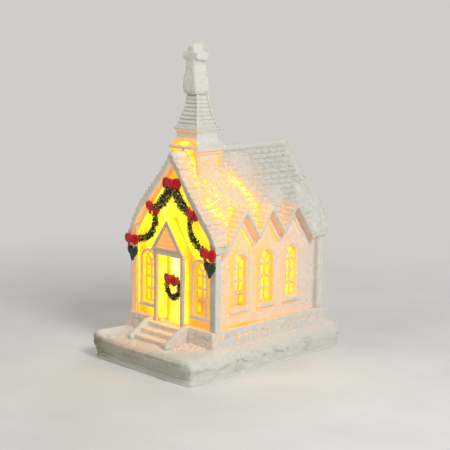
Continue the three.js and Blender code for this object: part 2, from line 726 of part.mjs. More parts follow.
function lightHousing() {
  const halfX = unitWidth / 2;
  const shell = join(box(-halfX - flangeReach, halfX + flangeReach, unitY[0] - flangeReach, unitY[1] + flangeReach,
    standClear, plateTop), box(-halfX, halfX, ...unitY, standClear, unitTop));
  const slotX = (knobLength + switchTravel) / 2 + fit;
  const slotY = knobWidth / 2 + fit;
  const railY = knobWidth / 2 + 1.3 + fit;
  const slotHalf = plateGauge / 2 + fit;
  const wallSlot = (x, z0, z1) => box(x - slotHalf, x + slotHalf, roomY[1] - 0.1, bayY[0] + 0.1, z0 - fit, z1 + fit);
  const hollow = cut(shell,
    box(-halfX + unitWall, halfX - unitWall, ...roomY, plateTop, unitTop + through),
    box(...bayX, ...bayY, doorUpper, unitTop - unitWall),
    box(-doorEdge - tongueReach - fit, 0, ...bayY, plateTop, plateTop + 2 * fit + tongueThickness + 0.4),
    box(-doorEdge, doorEdge, ...bayY, standClear - through, doorUpper + 0.15),
    cylinderZ(screwShank / 2 + screwPlay, screwX, cellY, standClear, plateTop + screwLength + 0.6),
    box(-slotX, slotX, switchY - slotY, switchY + slotY, standClear - through, plateTop + 0.1),
    wallSlot(bayX[0] + plateGauge / 2, stripZ, stripZ + stripHeight),
    wallSlot(springTailX, springTailZ - springWire / 2, springTailZ + springWire / 2));
  return hollow.add(join([-1, 1].map((s) => box(-slideHalf, slideHalf,
    ...ordered(s * railY, s * (railY + 0.9)).map((v) => v + switchY), plateTop - 0.2, sliderTop + plateGauge))));
}

function lightLid() {
  const collar = turned([[ledDiameter / 2 + 0.8, 0], [ledDiameter / 2 + 2, 0], [ledDiameter / 2 + 2, 1.8],
    [ledDiameter / 2 + 0.8, 1.8], [ledDiameter / 2 + 0.8, 0]], 0, ledY).translate(0, 0, unitTop + lidThickness - 0.2);
  const edge = 0.2;
  return cut(join(box(-unitWidth / 2 + edge, unitWidth / 2 - edge, unitY[0] + edge, bayY[0] - edge, unitTop,
    unitTop + lidThickness), collar),
  [-1, 1].map((s) => cylinderZ(leadDiameter / 2 + 0.2, s * ledPitch / 2, ledY, unitTop - through,
    unitTop + lidThickness + through, 12)));
}

function led() {
  const r = ledDiameter / 2;
  const base = unitTop + lidThickness;
  const domeSteps = 5;
  const dome = Array.from({ length: domeSteps }, (_, i) => {
    const rise = i * quarter / domeSteps;
    return [r * Math.cos(rise), ledHeight - r + r * Math.sin(rise)];
  });
  const profile = [[0, 0], [r + 0.4, 0], [r + 0.4, 1], [r, 1], ...dome, [0, ledHeight]];
  return join(turned(profile, 0, ledY, 16).translate(0, 0, base));
}

// A round wire bent along points
function wire(points, diameter, steps) {
  const path = new THREE.CatmullRomCurve3(points.map((p) => new THREE.Vector3(...p)), false, 'catmullrom', 0.3);
  const section = new THREE.Shape();
  section.absarc(0, 0, diameter / 2, 0, 2 * Math.PI, false);
  return new THREE.ExtrudeGeometry(section, { steps, curveSegments: 3, bevelEnabled: false, extrudePath: path });
}

function negativeSpring() {
  const length = springTailX - (cellEnd + fit + springWire / 2);
  const perTurn = 12;
  const coil = Array.from({ length: springTurns * perTurn + 1 }, (_, i) => {
    const t = i / (springTurns * perTurn);
    const angle = quarter - 2 * Math.PI * springTurns * t;
    const r = springRadius + (springEndRadius - springRadius) * t;
    return [springTailX - length * t, cellY + r * Math.cos(angle), cellZ + r * Math.sin(angle)];
  });
  const tail = [[springTailX, roomY[1] - springTailReach, springTailZ],
    [springTailX, roomY[1] + unitWall, springTailZ],
    [springTailX, cellY - springTailReach, springTailZ]];
  return wire([...tail, ...coil.slice(1)], springWire, 44);
}

function positiveContact() {
  const x = [bayX[0], bayX[0] + plateGauge];
  const halfY = cellDiameter / 2 - 2;
  const stripY = [switchY - stripWidth / 2, switchY + stripWidth / 2];
  return join(box(...x, cellY - halfY, cellY + halfY, stripZ, cellZ + halfY),
    cylinderX(2.4, x[1] - 0.1, cellStart - 0.1, cellY, cellZ, 16),
    box(...x, stripY[0], cellY - halfY + 0.2, stripZ, stripZ + stripHeight),
    box(x[0], knobRestX - knobLength / 2 - 0.7, ...stripY, stripZ, stripZ + plateGauge));
}

function switchTerminal() {
  const far = unitWidth / 2 - unitWall - 1.6;
  const y = [switchY - stripWidth / 2, switchY + stripWidth / 2];
  return join(box(knobRestX + slideHalf - switchTravel - 0.8, far, ...y, stripZ, stripZ + plateGauge),
    box(far - plateGauge, far, ...y, plateTop, stripZ + 0.1));
}

function switchSlider() {
  const half = slideHalf - switchTravel / 2 + 0.5;
  return join(box(knobRestX - half, knobRestX + half, switchY - knobWidth / 2 - 1.3, switchY + knobWidth / 2 + 1.3,
    plateTop + 0.1, sliderTop),
  box(knobRestX - knobLength / 2, knobRestX + knobLength / 2, switchY - knobWidth / 2, switchY + knobWidth / 2,
    standClear, plateTop + 0.3));
}

function switchBridge() {
  const half = slideHalf - switchTravel / 2 - 0.1;
  return join(box(knobRestX - half, knobRestX + half, switchY - stripWidth / 2, switchY + stripWidth / 2, sliderTop,
    sliderTop + plateGauge));
}

function buttonCell(index) {
  const r = cellDiameter / 2;
  const profile = [[0, 0], [r - 0.4, 0], [r, 0.4], [r, cellHeight - 0.8], [r - 0.8, cellHeight - 0.5],
    [r - 0.8, cellHeight], [0, cellHeight]].map(([a, b]) => new THREE.Vector2(a, b));
  return new THREE.LatheGeometry(profile, 20).rotateZ(-quarter)
    .translate(cellStart + index * (cellHeight + cellGap), cellY, cellZ);
}

function batteryDoor() {
  const half = doorEdge - fit;
  const y = [bayY[0] + fit, bayY[1] - fit];
  const tongueZ = plateTop + fit;
  const tongues = [-1, 1].flatMap((s) => {
    const ty = [cellY + s * tongueOffset - tongueWidth / 2, cellY + s * tongueOffset + tongueWidth / 2];
    return [box(-half - tongueReach, -half + tongueRoot, ...ty, tongueZ, tongueZ + tongueThickness),
      box(-half, -half + tongueRoot, ...ty, doorUpper - 0.2, tongueZ + tongueThickness)];
  });
  const headSeat = doorUpper - 0.6;
  return cut(join(box(-half, half, ...y, standClear, doorUpper), tongues),
    cylinderZ(screwHead / 2 + 0.2, screwX, cellY, standClear - through, headSeat),
    cylinderZ(screwShank / 2 + 0.2, screwX, cellY, standClear, doorUpper + through));
}

function doorScrew() {
  const seat = doorUpper - 0.6;
  const r = screwShank / 2;
  const headFoot = seat - screwHeadHeight;
  const shank = turned([[0, 0], [screwHead / 2 - 0.2, 0], [screwHead / 2, 0.25], [screwHead / 2, screwHeadHeight],
    [r, screwHeadHeight], [r, screwHeadHeight + screwLength - 0.6], [0, screwHeadHeight + screwLength]],
  screwX, cellY).translate(0, 0, headFoot);
  const slot = (w, l) => box(screwX - w / 2, screwX + w / 2, cellY - l / 2, cellY + l / 2, 0, headFoot + 0.4);
  return cut(join(shank), slot(0.5, 2.2), slot(2.2, 0.5));
}

// The assembly
piece('plinth', plinth(), stoneResin());
piece('foundation', foundation(), stoneResin());
piece('nave_walls', walls(), whiteResin());
piece('nave_roof', roof(), whiteResin());
piece('front_door', frontDoor(), whiteResin());
piece('entrance_steps', entranceSteps(), stoneResin());
piece('porch_gable', porchGable(), whiteResin());
piece('porch_post_left', porchPost(-1), whiteResin());
piece('porch_post_right', porchPost(1), whiteResin());
piece('bell_tower', bellTower(), whiteResin());
piece('spire', spire(), whiteResin());
piece('spire_cross', spireCross(), whiteResin());
windows.forEach((w) => piece(w.name, w.parts.pane, amberFilm()));

// Swag routes on one half of the gable: x, depth below the ridge and how far they stand off the wall
const swags = {
  upper: [[1.7, 16.7, 0.3], [3.2, 18.2, 0.1], [5.2, 20.4, 0], [7, 21.8, 0.3]],
  lower: [[10.6, 26.6, 0.6], [9.4, 28.8, 0.2], [10.2, 31.4, 0], [12.4, 34.2, 0], [15.2, 36, 0.4], [17.8, 36.8, 1.4]],
};
const bowY = faceFrontY - rakeMouldingProud - fit - bowThickness / 2;
const eaveBowY = roofFront - fit - bowThickness / 2;
Object.entries({ left: -1, right: 1 }).forEach(([name, side]) => {
  Object.entries(swags).forEach(([level, points]) => {
    piece(`garland_${level}_${name}`, swag(points, side), greenPaint());
  });
  piece(`bow_middle_${name}`, bow(side * middleBow.x, bowY, ridgeHeight - middleBow.drop, middleBow), redPaint());
  piece(`bow_low_${name}`, bow(side * (eaveHalfWidth - lowBow.inset), eaveBowY, eaveTop - lowBow.drop, lowBow),
    redPaint());
  piece(`leaves_${name}`, leaves(side * (halfWidth - leafCluster.inset), frontY - fit - leafCluster.thickness,
    eaveTop - leafCluster.drop, side), greenPaint());
});
piece('bow_top', bow(0, bowY - topBow.proud, ridgeHeight - topBow.drop, topBow), redPaint());
const wreathY = faceFrontY + doorSetBack - fit - wreathTube;
piece('door_wreath', wreath(wreathY), greenPaint());
piece('wreath_bow', bow(0, wreathY - wreathTube - fit - bowThickness / 2,
  wreathHeight + wreathRadius + wreathBow.rise, wreathBow), redPaint());

piece('light_housing', lightHousing(), whitePlastic());
piece('light_lid', lightLid(), whitePlastic());
piece('led', led(), finish(0xffe9a8, 0.15));
const ledBase = unitTop + lidThickness - fit;
const legX = ledPitch / 2;
const roomHeight = unitTop - plateTop;
const plusTop = stripZ + plateGauge + fit;
const plusX = knobRestX + slideHalf;
piece('led_lead_plus', wire([[legX, ledY, ledBase], [legX, ledY, plateTop + 0.7 * roomHeight],
  [(legX + plusX) / 2, (ledY + switchY) / 2, plateTop + 0.45 * roomHeight],
  [plusX, switchY - leadBend, plateTop + 0.3 * roomHeight], [plusX, switchY, plusTop]], leadDiameter, 22), plated());
piece('led_lead_minus', wire([[-legX, ledY, ledBase], [-legX, ledY, plateTop + 0.8 * roomHeight],
  [0, (ledY + roomY[1]) / 2, plateTop + 0.74 * roomHeight],
  [springTailX - leadBend, roomY[1] - springTailReach - leadBend, springTailZ],
  [springTailX, roomY[1] - springTailReach - leadDiameter, springTailZ]], leadDiameter, 22), plated());
piece('positive_contact', positiveContact(), brassPlate());
piece('negative_spring', negativeSpring(), plated());
piece('switch_terminal', switchTerminal(), brassPlate());
piece('switch_slider', switchSlider(), finish(0x1c1c1e, 0.5));
piece('switch_bridge', switchBridge(), brassPlate());
for (let i = 0; i < cellCount; i += 1) piece(`button_cell_${i + 1}`, buttonCell(i), plated());
piece('battery_door', batteryDoor(), whitePlastic());
piece('door_screw', doorScrew(), plated());

export default church;
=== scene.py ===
# Lit resin village church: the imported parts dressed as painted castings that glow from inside.
# Lengths are in millimetres in the part's own frame, and become metres where a mesh is made.
import math

import bpy
import numpy as np
from mathutils import Matrix, Vector


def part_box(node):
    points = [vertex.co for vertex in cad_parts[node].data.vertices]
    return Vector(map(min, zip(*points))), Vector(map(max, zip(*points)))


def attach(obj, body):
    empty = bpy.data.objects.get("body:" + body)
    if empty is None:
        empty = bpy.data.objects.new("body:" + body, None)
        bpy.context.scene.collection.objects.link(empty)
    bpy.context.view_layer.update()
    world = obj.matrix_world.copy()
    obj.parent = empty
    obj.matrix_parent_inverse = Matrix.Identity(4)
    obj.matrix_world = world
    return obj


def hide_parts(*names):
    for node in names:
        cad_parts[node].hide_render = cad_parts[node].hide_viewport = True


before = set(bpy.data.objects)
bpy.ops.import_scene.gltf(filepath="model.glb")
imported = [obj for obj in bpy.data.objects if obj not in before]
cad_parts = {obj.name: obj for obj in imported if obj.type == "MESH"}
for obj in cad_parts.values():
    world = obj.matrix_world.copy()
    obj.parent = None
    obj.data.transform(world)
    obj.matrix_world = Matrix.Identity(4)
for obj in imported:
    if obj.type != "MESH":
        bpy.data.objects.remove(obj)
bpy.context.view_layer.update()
mm = 0.001
print("frame loaded,", len(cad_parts), "nodes")


def boxOf(node):
    low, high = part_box(node)
    return np.array(low) / mm, np.array(high) / mm


# numbers

def ramp(x, low, high):
    # a smooth step: 0 below low, 1 above high, 3t^2 - 2t^3 between
    t = np.clip((x - low) / (high - low), 0, 1)
    return t * t * (3 - 2 * t)


def bell(x, width):
    # 1 at 0, falling off smoothly on both sides
    return np.exp(-(x / width) ** 2)


def decay(x, width):
    # 1 up to 0, then fading with distance
    return np.exp(-np.maximum(x, 0) / width)


def lattice(i, j, k, seed):
    # a repeatable value from 0 to 1 for each whole-number cell
    n = i * 73856093 ^ j * 19349663 ^ k * 83492791 ^ seed * 40503
    n = (n ^ (n >> 13)) * 1274126177 & 0x7fffffff
    n = (n ^ (n >> 15)) * 668265263 & 0x7fffffff
    return (n & 0xffff) / 65535.0


def noise(p, size, seed=0):
    # value noise from -1 to 1: the eight corners of a cell of that size, blended smoothly
    q = np.asarray(p, float) / size + 500
    cell = np.floor(q).astype(np.int64)
    f = q - cell
    f = f * f * (3 - 2 * f)
    total = 0
    for a in (0, 1):
        for b in (0, 1):
            for c in (0, 1):
                weight = (np.abs(1 - a - f[..., 0]) * np.abs(1 - b - f[..., 1]) * np.abs(1 - c - f[..., 2]))
                total = total + weight * lattice(cell[..., 0] + a, cell[..., 1] + b, cell[..., 2] + c, seed)
    return 2 * total - 1


def rough(p, size, seed=0):
    # noise summed over three halving sizes, each half as strong
    return sum(noise(p, size / 2 ** i, seed + i) / 2 ** i for i in range(3))


def cells(a, b, size, seed=0, jitter=0.75):
    # distance to the nearest and second nearest of jittered grid points, and the nearest one's own value
    q = np.stack([a, b], -1) / size + 200
    cell = np.floor(q).astype(np.int64)
    first = np.full(a.shape, 9.0)
    second = np.full(a.shape, 9.0)
    own = np.zeros(a.shape)
    for i in (-1, 0, 1):
        for j in (-1, 0, 1):
            ci, cj = cell[..., 0] + i, cell[..., 1] + j
            px = ci + 0.5 + jitter * (lattice(ci, cj, ci * 0, seed) - 0.5)
            py = cj + 0.5 + jitter * (lattice(ci, cj, ci * 0, seed + 7) - 0.5)
            d = np.hypot(q[..., 0] - px, q[..., 1] - py)
            nearer = d < first
            second = np.where(nearer, first, np.minimum(second, d))
            own = np.where(nearer, lattice(ci, cj, ci * 0, seed + 13), own)
            first = np.where(nearer, d, first)
    return first * size, second * size, own


def segment(x, z, a, b):
    # distance to the straight line from a to b
    ax, az = a
    dx, dz = b[0] - ax, b[1] - az
    t = np.clip(((x - ax) * dx + (z - az) * dz) / (dx * dx + dz * dz), 0, 1)
    return np.hypot(x - ax - t * dx, z - az - t * dz)


# meshes

def gridQuads(rows, cols, wrapRows=False, wrapCols=False):
    r = np.arange(rows if wrapRows else rows - 1)[:, None]
    c = np.arange(cols if wrapCols else cols - 1)[None, :]
    r1, c1 = (r + 1) % rows, (c + 1) % cols
    return np.stack([r * cols + c, r * cols + c1, r1 * cols + c1, r1 * cols + c], -1).reshape(-1, 4)


def signedVolume(points, quads):
    a, b, c, d = (points[quads[:, i]] for i in range(4))
    return float((np.cross(a, b) * c).sum() + (np.cross(a, c) * d).sum())


def placed(name, data):
    thing = bpy.data.objects.new(name, data)
    bpy.context.scene.collection.objects.link(thing)
    return thing


def pointsInward(points, quads, triangles=None):
    if triangles is not None:
        quads = np.vstack([quads, np.column_stack([triangles, triangles[:, 2]])])
    return signedVolume(points - points.mean(0), quads) < 0


def makePiece(name, points, quads, material, node=None, body="church", marks=None,
              triangles=None):
    # one closed mesh in its body, turned outwards, with its marks kept at its points for the materials
    points = np.asarray(points, float).reshape(-1, 3)
    quads = np.asarray(quads).reshape(-1, 4)
    if pointsInward(points, quads, triangles):
        quads = quads[:, ::-1]
        triangles = None if triangles is None else triangles[:, ::-1]
    faces = quads.tolist() + ([] if triangles is None else triangles.tolist())
    mesh = bpy.data.meshes.new(name)
    mesh.from_pydata((points * mm).tolist(), [], faces)
    mesh.shade_smooth()
    for key, values in (marks or {}).items():
        layer = mesh.attributes.new(key, "FLOAT", "POINT")
        layer.data.foreach_set("value", np.asarray(values, np.float32).ravel())
    mesh.materials.append(material)
    piece = placed(name, mesh)
    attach(piece, body)
    for n in [node] if isinstance(node, str) else (node or []):
        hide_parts(n)
    return piece


def backed(grid, shift):
    # a grid of points closed behind: its border moved by shift, and a fan across the back
    rows, cols = grid.shape[:2]
    index = np.arange(rows * cols).reshape(rows, cols)
    border = np.concatenate([index[0], index[1:, -1], index[-1, -2::-1], index[-2:0, 0]])
    points = grid.reshape(-1, 3)
    ring = points[border] + np.array(shift, float)
    n, start = len(border), len(points)
    following = (np.arange(n) + 1) % n
    sides = np.stack([border, start + np.arange(n), start + following, border[following]], -1)
    centre = start + n
    fan = np.stack([start + following, start + np.arange(n), np.full(n, centre)], -1)
    return np.vstack([points, ring, ring.mean(0)]), np.vstack([gridQuads(rows, cols), sides]), fan


def spread(values, extra, fill=0.0):
    # marks for the points that backed() adds
    return np.concatenate([np.asarray(values, float).ravel(), np.full(extra, fill)])


def remeshed(nodes, voxel, smoothing=2):
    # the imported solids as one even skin: merged, voxel remeshed and relaxed towards their neighbours' mean
    points, faces, start = [], [], 0
    for node in nodes:
        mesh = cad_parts[node].data
        co = np.empty(len(mesh.vertices) * 3)
        mesh.vertices.foreach_get("co", co)
        points.append(co.reshape(-1, 3) / mm)
        corners = np.empty(len(mesh.loops), np.int64)
        mesh.loops.foreach_get("vertex_index", corners)
        faces.append(corners.reshape(-1, 3) + start)
        start += len(mesh.vertices)
    scratch = bpy.data.meshes.new("scratch")
    scratch.from_pydata(np.vstack(points).tolist(), [], np.vstack(faces).tolist())
    holder = placed("scratch", scratch)
    weld = holder.modifiers.new("weld", "WELD")
    weld.merge_threshold = 0.001
    modifier = holder.modifiers.new("remesh", "REMESH")
    modifier.mode = "VOXEL"
    modifier.voxel_size = voxel
    made = holder.evaluated_get(bpy.context.evaluated_depsgraph_get()).to_mesh()
    co = np.empty(len(made.vertices) * 3)
    made.vertices.foreach_get("co", co)
    co = co.reshape(-1, 3)
    quads = np.empty(len(made.loops), np.int64)
    made.loops.foreach_get("vertex_index", quads)
    quads = quads.reshape(-1, 4)
    bpy.data.objects.remove(holder)
    bpy.data.meshes.remove(scratch)
    for _ in range(smoothing):
        co = relaxed(co, quads, 0.6)
    return co, quads


def relaxed(values, quads, share):
    # each value moved by a share of the way to the mean of its neighbours
    total = np.zeros_like(values)
    count = np.zeros(len(values))
    for i in range(4):
        a, b = quads[:, i], quads[:, (i + 1) % 4]
        for p, q in ((a, b), (b, a)):
            if values.ndim > 1:
                for k in range(values.shape[1]):
                    total[:, k] += np.bincount(p, values[q, k], len(values))
            else:
                total += np.bincount(p, values[q], len(values))
            count += np.bincount(p, minlength=len(values))
    mean = total / (count[:, None] if values.ndim > 1 else count)
    return values + share * (mean - values)


def normalsOf(points, quads):
    across = points[quads[:, 2]] - points[quads[:, 0]]
    along = points[quads[:, 3]] - points[quads[:, 1]]
    face = np.cross(across, along)
    total = np.zeros_like(points)
    for i in range(4):
        for k in range(3):
            total[:, k] += np.bincount(quads[:, i], face[:, k], len(points))
    return total / np.maximum(np.linalg.norm(total, axis=1, keepdims=True), 1e-9)


# materials

def linear(hexColor):
    values = [int(hexColor[i:i + 2], 16) / 255 for i in (1, 3, 5)]
    return tuple(v / 12.92 if v <= 0.04045 else ((v + 0.055) / 1.055) ** 2.4 for v in values) + (1.0,)


def add(tree, kind, settings=None, **links):
    # adds a shader node: settings go by input name, input number or attribute, stops fill a ramp,
    # and links go by input name, or by an underscore and the input's number
    node = tree.nodes.new("ShaderNode" + kind)
    for key, value in (settings or {}).items():
        if key == "stops":
            elements = node.color_ramp.elements
            elements.remove(elements[1])
            for i, (position, tone) in enumerate(value):
                element = elements.new(position) if i else elements[0]
                element.position = position
                element.color = linear(tone)
        elif isinstance(key, int) or key in node.inputs:
            node.inputs[key].default_value = linear(value) if isinstance(value, str) else value
        else:
            setattr(node, key, value)
    for key, source in links.items():
        tree.links.new(source, node.inputs[int(key[1:]) if key[1:].isdigit() else key.replace("_", " ")])
    return node


def isSocket(value):
    return isinstance(value, bpy.types.NodeSocket)


def dress(tree, surface, **values):
    # sets the shader's inputs: sockets are linked and plain values written; an underscore stands for a space
    for key, value in values.items():
        target = surface.inputs[key.replace("_", " ")]
        if isSocket(value):
            tree.links.new(value, target)
        else:
            target.default_value = value


def maths(tree, operation, a, b, clamp=False):
    # one sum of the socket a with b, a socket or a number
    settings = {"operation": operation, "use_clamp": clamp}
    if isSocket(b):
        return add(tree, "Math", settings, _0=a, _1=b).outputs[0]
    return add(tree, "Math", {**settings, 1: b}, _0=a).outputs[0]


def mixed(tree, share, a, b, blend="MIX"):
    # two colours, each a socket or an sRGB value, mixed or multiplied by a share
    values = {0: share, 6: a, 7: b}
    plain = {key: value for key, value in values.items() if not isSocket(value)}
    linked = {f"_{key}": value for key, value in values.items() if isSocket(value)}
    return add(tree, "Mix", {"data_type": "RGBA", "blend_type": blend, **plain}, **linked).outputs[2]


def mapped(tree, value, low, high, start=0.0, end=1.0):
    settings = {"From Min": start, "From Max": end, "To Min": low, "To Max": high}
    return add(tree, "MapRange", settings, Value=value).outputs["Result"]


def tones(tree, fac, stops):
    return add(tree, "ValToRGB", {"stops": stops}, Fac=fac).outputs["Color"]


def clouds(tree, place, size, detail, roughness=0.5):
    # noise with patches of about size millimetres
    settings = {"Scale": 1 / (size * mm), "Detail": detail, "Roughness": roughness}
    return add(tree, "TexNoise", settings, Vector=place).outputs["Fac"]


def dotted(tree, place, size, radius, channel, above):
    # 1 close to the middle of some cells, those whose own random channel lies above a threshold
    cell = add(tree, "TexVoronoi", {"Scale": 1 / (size * mm)}, Vector=place).outputs
    own = add(tree, "SeparateColor", Color=cell["Color"]).outputs[channel]
    near = maths(tree, "LESS_THAN", cell["Distance"], radius)
    return maths(tree, "MULTIPLY", near, maths(tree, "GREATER_THAN", own, above))


def bumps(tree, height, strength, distance):
    return add(tree, "Bump", {"Strength": strength, "Distance": distance * mm},
               Height=height).outputs["Normal"]


def markOf(tree, name):
    return add(tree, "Attribute", {"attribute_name": name}).outputs["Fac"]


def newMaterial(name):
    material = bpy.data.materials.new(name)
    material.use_nodes = True
    tree = material.node_tree
    return material, tree, tree.nodes["Principled BSDF"], add(tree, "TexCoord").outputs["Object"]


glow = {
    "reach": 1.3,         # the glow mark that meets the top of the ramps
    "surface": [(0.0, "#F4F2EE"), (0.16, "#F4E4D2"), (0.33, "#F3D4A4"), (0.5, "#EDAC55"), (0.65, "#EFBC2C"),
                (0.8, "#F0DC28"), (1.0, "#F5F0A0")],
    "light": [(0.0, "#000000"), (0.16, "#66402E"), (0.33, "#AC7440"), (0.5, "#DC8826"), (0.65, "#EEB01C"),
              (0.8, "#F9EA30"), (1.0, "#FBF6B0")],
}
snowGlow = {
    # the same light under a coat of snow: paler
    "reach": 1.3,
    "surface": [(0.0, "#F4F2EE"), (0.16, "#F4E6D8"), (0.33, "#F4DAB8"), (0.5, "#F2C27C"), (0.65, "#F3CE62"),
                (0.8, "#F5E470"), (1.0, "#F8F4BC")],
    "light": [(0.0, "#000000"), (0.16, "#60432F"), (0.33, "#A07048"), (0.5, "#D89038"), (0.65, "#E8B236"),
              (0.8, "#F4DC4C"), (1.0, "#FAF4BC")],
}


def castResin(name, tone="#EDEEE9", grain=0.9, depth=0.25, flakes=True, roughness=0.62, rubbed=0.4,
              glow=glow):
    # stone-filled polyresin poured in a rubber mould and sprayed matt white: chalky, a little translucent,
    # so it warms from white through peach and orange to yellow where the wall is thin over the lamp
    material, tree, surface, place = newMaterial(name)
    uneven = mapped(tree, clouds(tree, place, 4, 4.0), 0.82, 1.14)
    level = maths(tree, "MULTIPLY", markOf(tree, "glow"), uneven)
    # sprayed snow that lets the light through in dots of about half a millimetre
    spots = mapped(tree, clouds(tree, place, 0.62, 1.0), -0.32, 0.62, 0.38, 0.66)
    level = maths(tree, "ADD", maths(tree, "MULTIPLY", spots, markOf(tree, "stipple")), level)
    share = maths(tree, "DIVIDE", level, glow["reach"], clamp=True)
    warmth = tones(tree, share, [(0.0, tone)] + glow["surface"][1:])
    light = tones(tree, share, glow["light"])
    # rubbed paint: darker and warmer in some patches, paler in others, from noise of about 1.6 mm
    tint = tones(tree, clouds(tree, place, 1.6, 6.0, 0.65), [(0.3, "#DAD5CA"), (0.55, "#FFFFFF")])
    color = mixed(tree, rubbed, warmth, tint, "MULTIPLY")
    # painted shade: the crease mark multiplies in a thin grey-brown where shade falls, in creases, dents and
    # under shingle butts, and on faces turned from the light
    color = mixed(tree, markOf(tree, "crease"), color, "#A89D86", "MULTIPLY")
    # pinholes that air leaves in the mould, one in ten of 2.3 mm cells
    color = mixed(tree, dotted(tree, place, 2.3, 0.1, "Red", 0.9), color, "#8C7F6A")
    if flakes:
        # mica glitter of about 0.25 mm, drawn 0.45 mm wide so that it shows: white and glossy, with a grey
        # emission that is a painted glint
        flake = dotted(tree, place, 0.9, 0.26, "Green", 0.955)
        color = mixed(tree, flake, color, "#FFFFFF")
        # the flakes' grey emission: a painted glint, bright in shade too
        light = mixed(tree, flake, light, "#7C7C78")
        roughness = mapped(tree, flake, roughness, 0.12)
    # the dusty sprayed skin: fine grit
    grit = bumps(tree, clouds(tree, place, grain, 5.0, 0.6), depth, 0.3)
    dress(tree, surface, Base_Color=color, Roughness=roughness, IOR=1.5, Specular_IOR_Level=0.35,
          Normal=grit, Emission_Color=light, Emission_Strength=1.0)
    return material


def amberFilm(name):
    # amber film close to the lamp: deep orange at the edges of each pane, yellow in its middle
    material, tree, surface, place = newMaterial(name)
    cloud = clouds(tree, place, 1.8, 3.0)
    level = maths(tree, "MULTIPLY", markOf(tree, "glow"), mapped(tree, cloud, 0.72, 1.18))
    base = tones(tree, level, [(0.0, "#9A5A10"), (0.5, "#E8930C"), (1.0, "#F2C81A")])
    light = tones(tree, level, [(0.0, "#5A2A04"), (0.35, "#C8700A"), (0.7, "#EEA808"), (1.0, "#FBE60A")])
    dress(tree, surface, Base_Color=base, Roughness=0.35, IOR=1.5, Normal=bumps(tree, cloud, 0.3, 0.2),
          Emission_Color=light, Emission_Strength=1.0)
    return material


def brushedPaint(name, low, high, fleck=None, roughness=0.35, coat=0.0):
    # acrylic brushed over cast relief: streaked between a darker and a lighter tone, gold flecks where asked
    # for
    material, tree, surface, place = newMaterial(name)
    streak = clouds(tree, place, 0.9, 5.0, 0.6)
    color = tones(tree, streak, [(0.35, low), (0.62, high)])
    if fleck:
        color = mixed(tree, dotted(tree, place, 0.95, 0.42, "Red", 0.42), color, fleck)
    dress(tree, surface, Base_Color=color, Roughness=roughness, Coat_Weight=coat, Coat_Roughness=0.15,
          Normal=bumps(tree, streak, 0.35, 0.15))
    return material


def mouldedPlastic(name, tone, shade, roughness):
    # injection-moulded plastic off a spark-eroded tool: even colour, fine pebble, soft sheen
    material, tree, surface, place = newMaterial(name)
    color = tones(tree, clouds(tree, place, 6, 2.0), [(0.3, shade), (0.7, tone)])
    dress(tree, surface, Base_Color=color, Roughness=roughness, IOR=1.53,
          Normal=bumps(tree, clouds(tree, place, 0.35, 2.0), 0.15, 0.05))
    return material


def platedMetal(name, tone, shade, roughness):
    # drawn or stamped metal with a thin plating: bright, with faint draw lines and the haze of handling
    material, tree, surface, place = newMaterial(name)
    stretch = add(tree, "Mapping", {"Scale": (1.0, 1.0, 14.0)}, Vector=place).outputs["Vector"]
    lines = clouds(tree, stretch, 2.5, 4.0)
    dress(tree, surface, Base_Color=tones(tree, lines, [(0.35, shade), (0.65, tone)]), Metallic=1.0,
          Roughness=mapped(tree, lines, roughness * 0.8, roughness * 1.4))
    return material


wallResin = castResin("sprayed_polyresin_walls", grain=0.7, depth=0.22)
roofResin = castResin("sprayed_polyresin_roof", tone="#EAEAE4", grain=0.6, depth=0.3, glow=snowGlow)
snowResin = castResin("sprayed_polyresin_snow", tone="#ECEDE7", grain=1.2, depth=0.3, rubbed=0.25)
stoneResin = castResin("sprayed_polyresin_stone", tone="#EBE9E2", grain=0.8, depth=0.35)
doorResin = castResin("sprayed_polyresin_door", grain=1.4, depth=0.12, flakes=False, roughness=0.32)
paneFilm = amberFilm("amber_film_panes")
bowPaint = brushedPaint("red_acrylic_gloss", "#A60009", "#E80410", roughness=0.42, coat=0.05)
leafPaint = brushedPaint("green_acrylic_matt", "#0E2A1C", "#1E4A30", roughness=0.5)
garlandPaint = brushedPaint("green_acrylic_gold_flecks", "#0E2A1C", "#2A5232", fleck="#FFD65C",
                            roughness=0.5)
whiteAbs = mouldedPlastic("white_abs_housing", "#E6E4DC", "#DCD9D0", 0.45)
blackAbs = mouldedPlastic("black_abs_knob", "#26262A", "#1B1B1E", 0.4)
clearEpoxy = mouldedPlastic("warm_white_led_epoxy", "#F6E9B8", "#F2DE9A", 0.12)
nickelSteel = platedMetal("nickel_plated_spring_steel", "#D8D4CC", "#B9B4AA", 0.25)
cellSteel = platedMetal("nickel_plated_cell_can", "#DEDEDC", "#C4C4C2", 0.2)
rolledBrass = platedMetal("rolled_brass_strip", "#D9B36A", "#B98F45", 0.3)
print("materials made")


# the light inside, as it reaches each surface

def lampGlow(x, y, z):
    # brightest on the door side near the lamp, fading along the side walls and up the roof
    low = ramp(45 - z, -1, 3)
    facade = 1.06 - 0.08 * ramp(np.abs(x), 10, 20) - 0.15 * ramp(26 - z, 0, 9) * ramp(np.abs(x), 6, 14)
    facade = facade - 0.4 * ramp(z, 68, 80) - low * (0.3 * ramp(x, 7, 9) + 0.14 * ramp(-x, 15, 18))
    # the shaded line where the porch's right slope runs into the wall
    facade = facade - 0.3 * (1 - ramp(segment(x, z, (0.6, 57.8), (9.9, 44.0)), 0.2, 1.0))
    along = np.exp(-np.maximum(y + 8, 0) ** 2 / (2 * 23.0 ** 2))
    side = (0.34 - 0.06 * ramp(24 - z, 0, 8) + 0.05 * ramp(z, 40, 56)) * along
    onFront = (y < -22) & (np.abs(x) < faceX - 0.2)
    return np.where(onFront, facade, side - 0.12 * ramp(-y, 16, 22))


# walls: one relief per side, windows sunk in, frames and pilasters proud

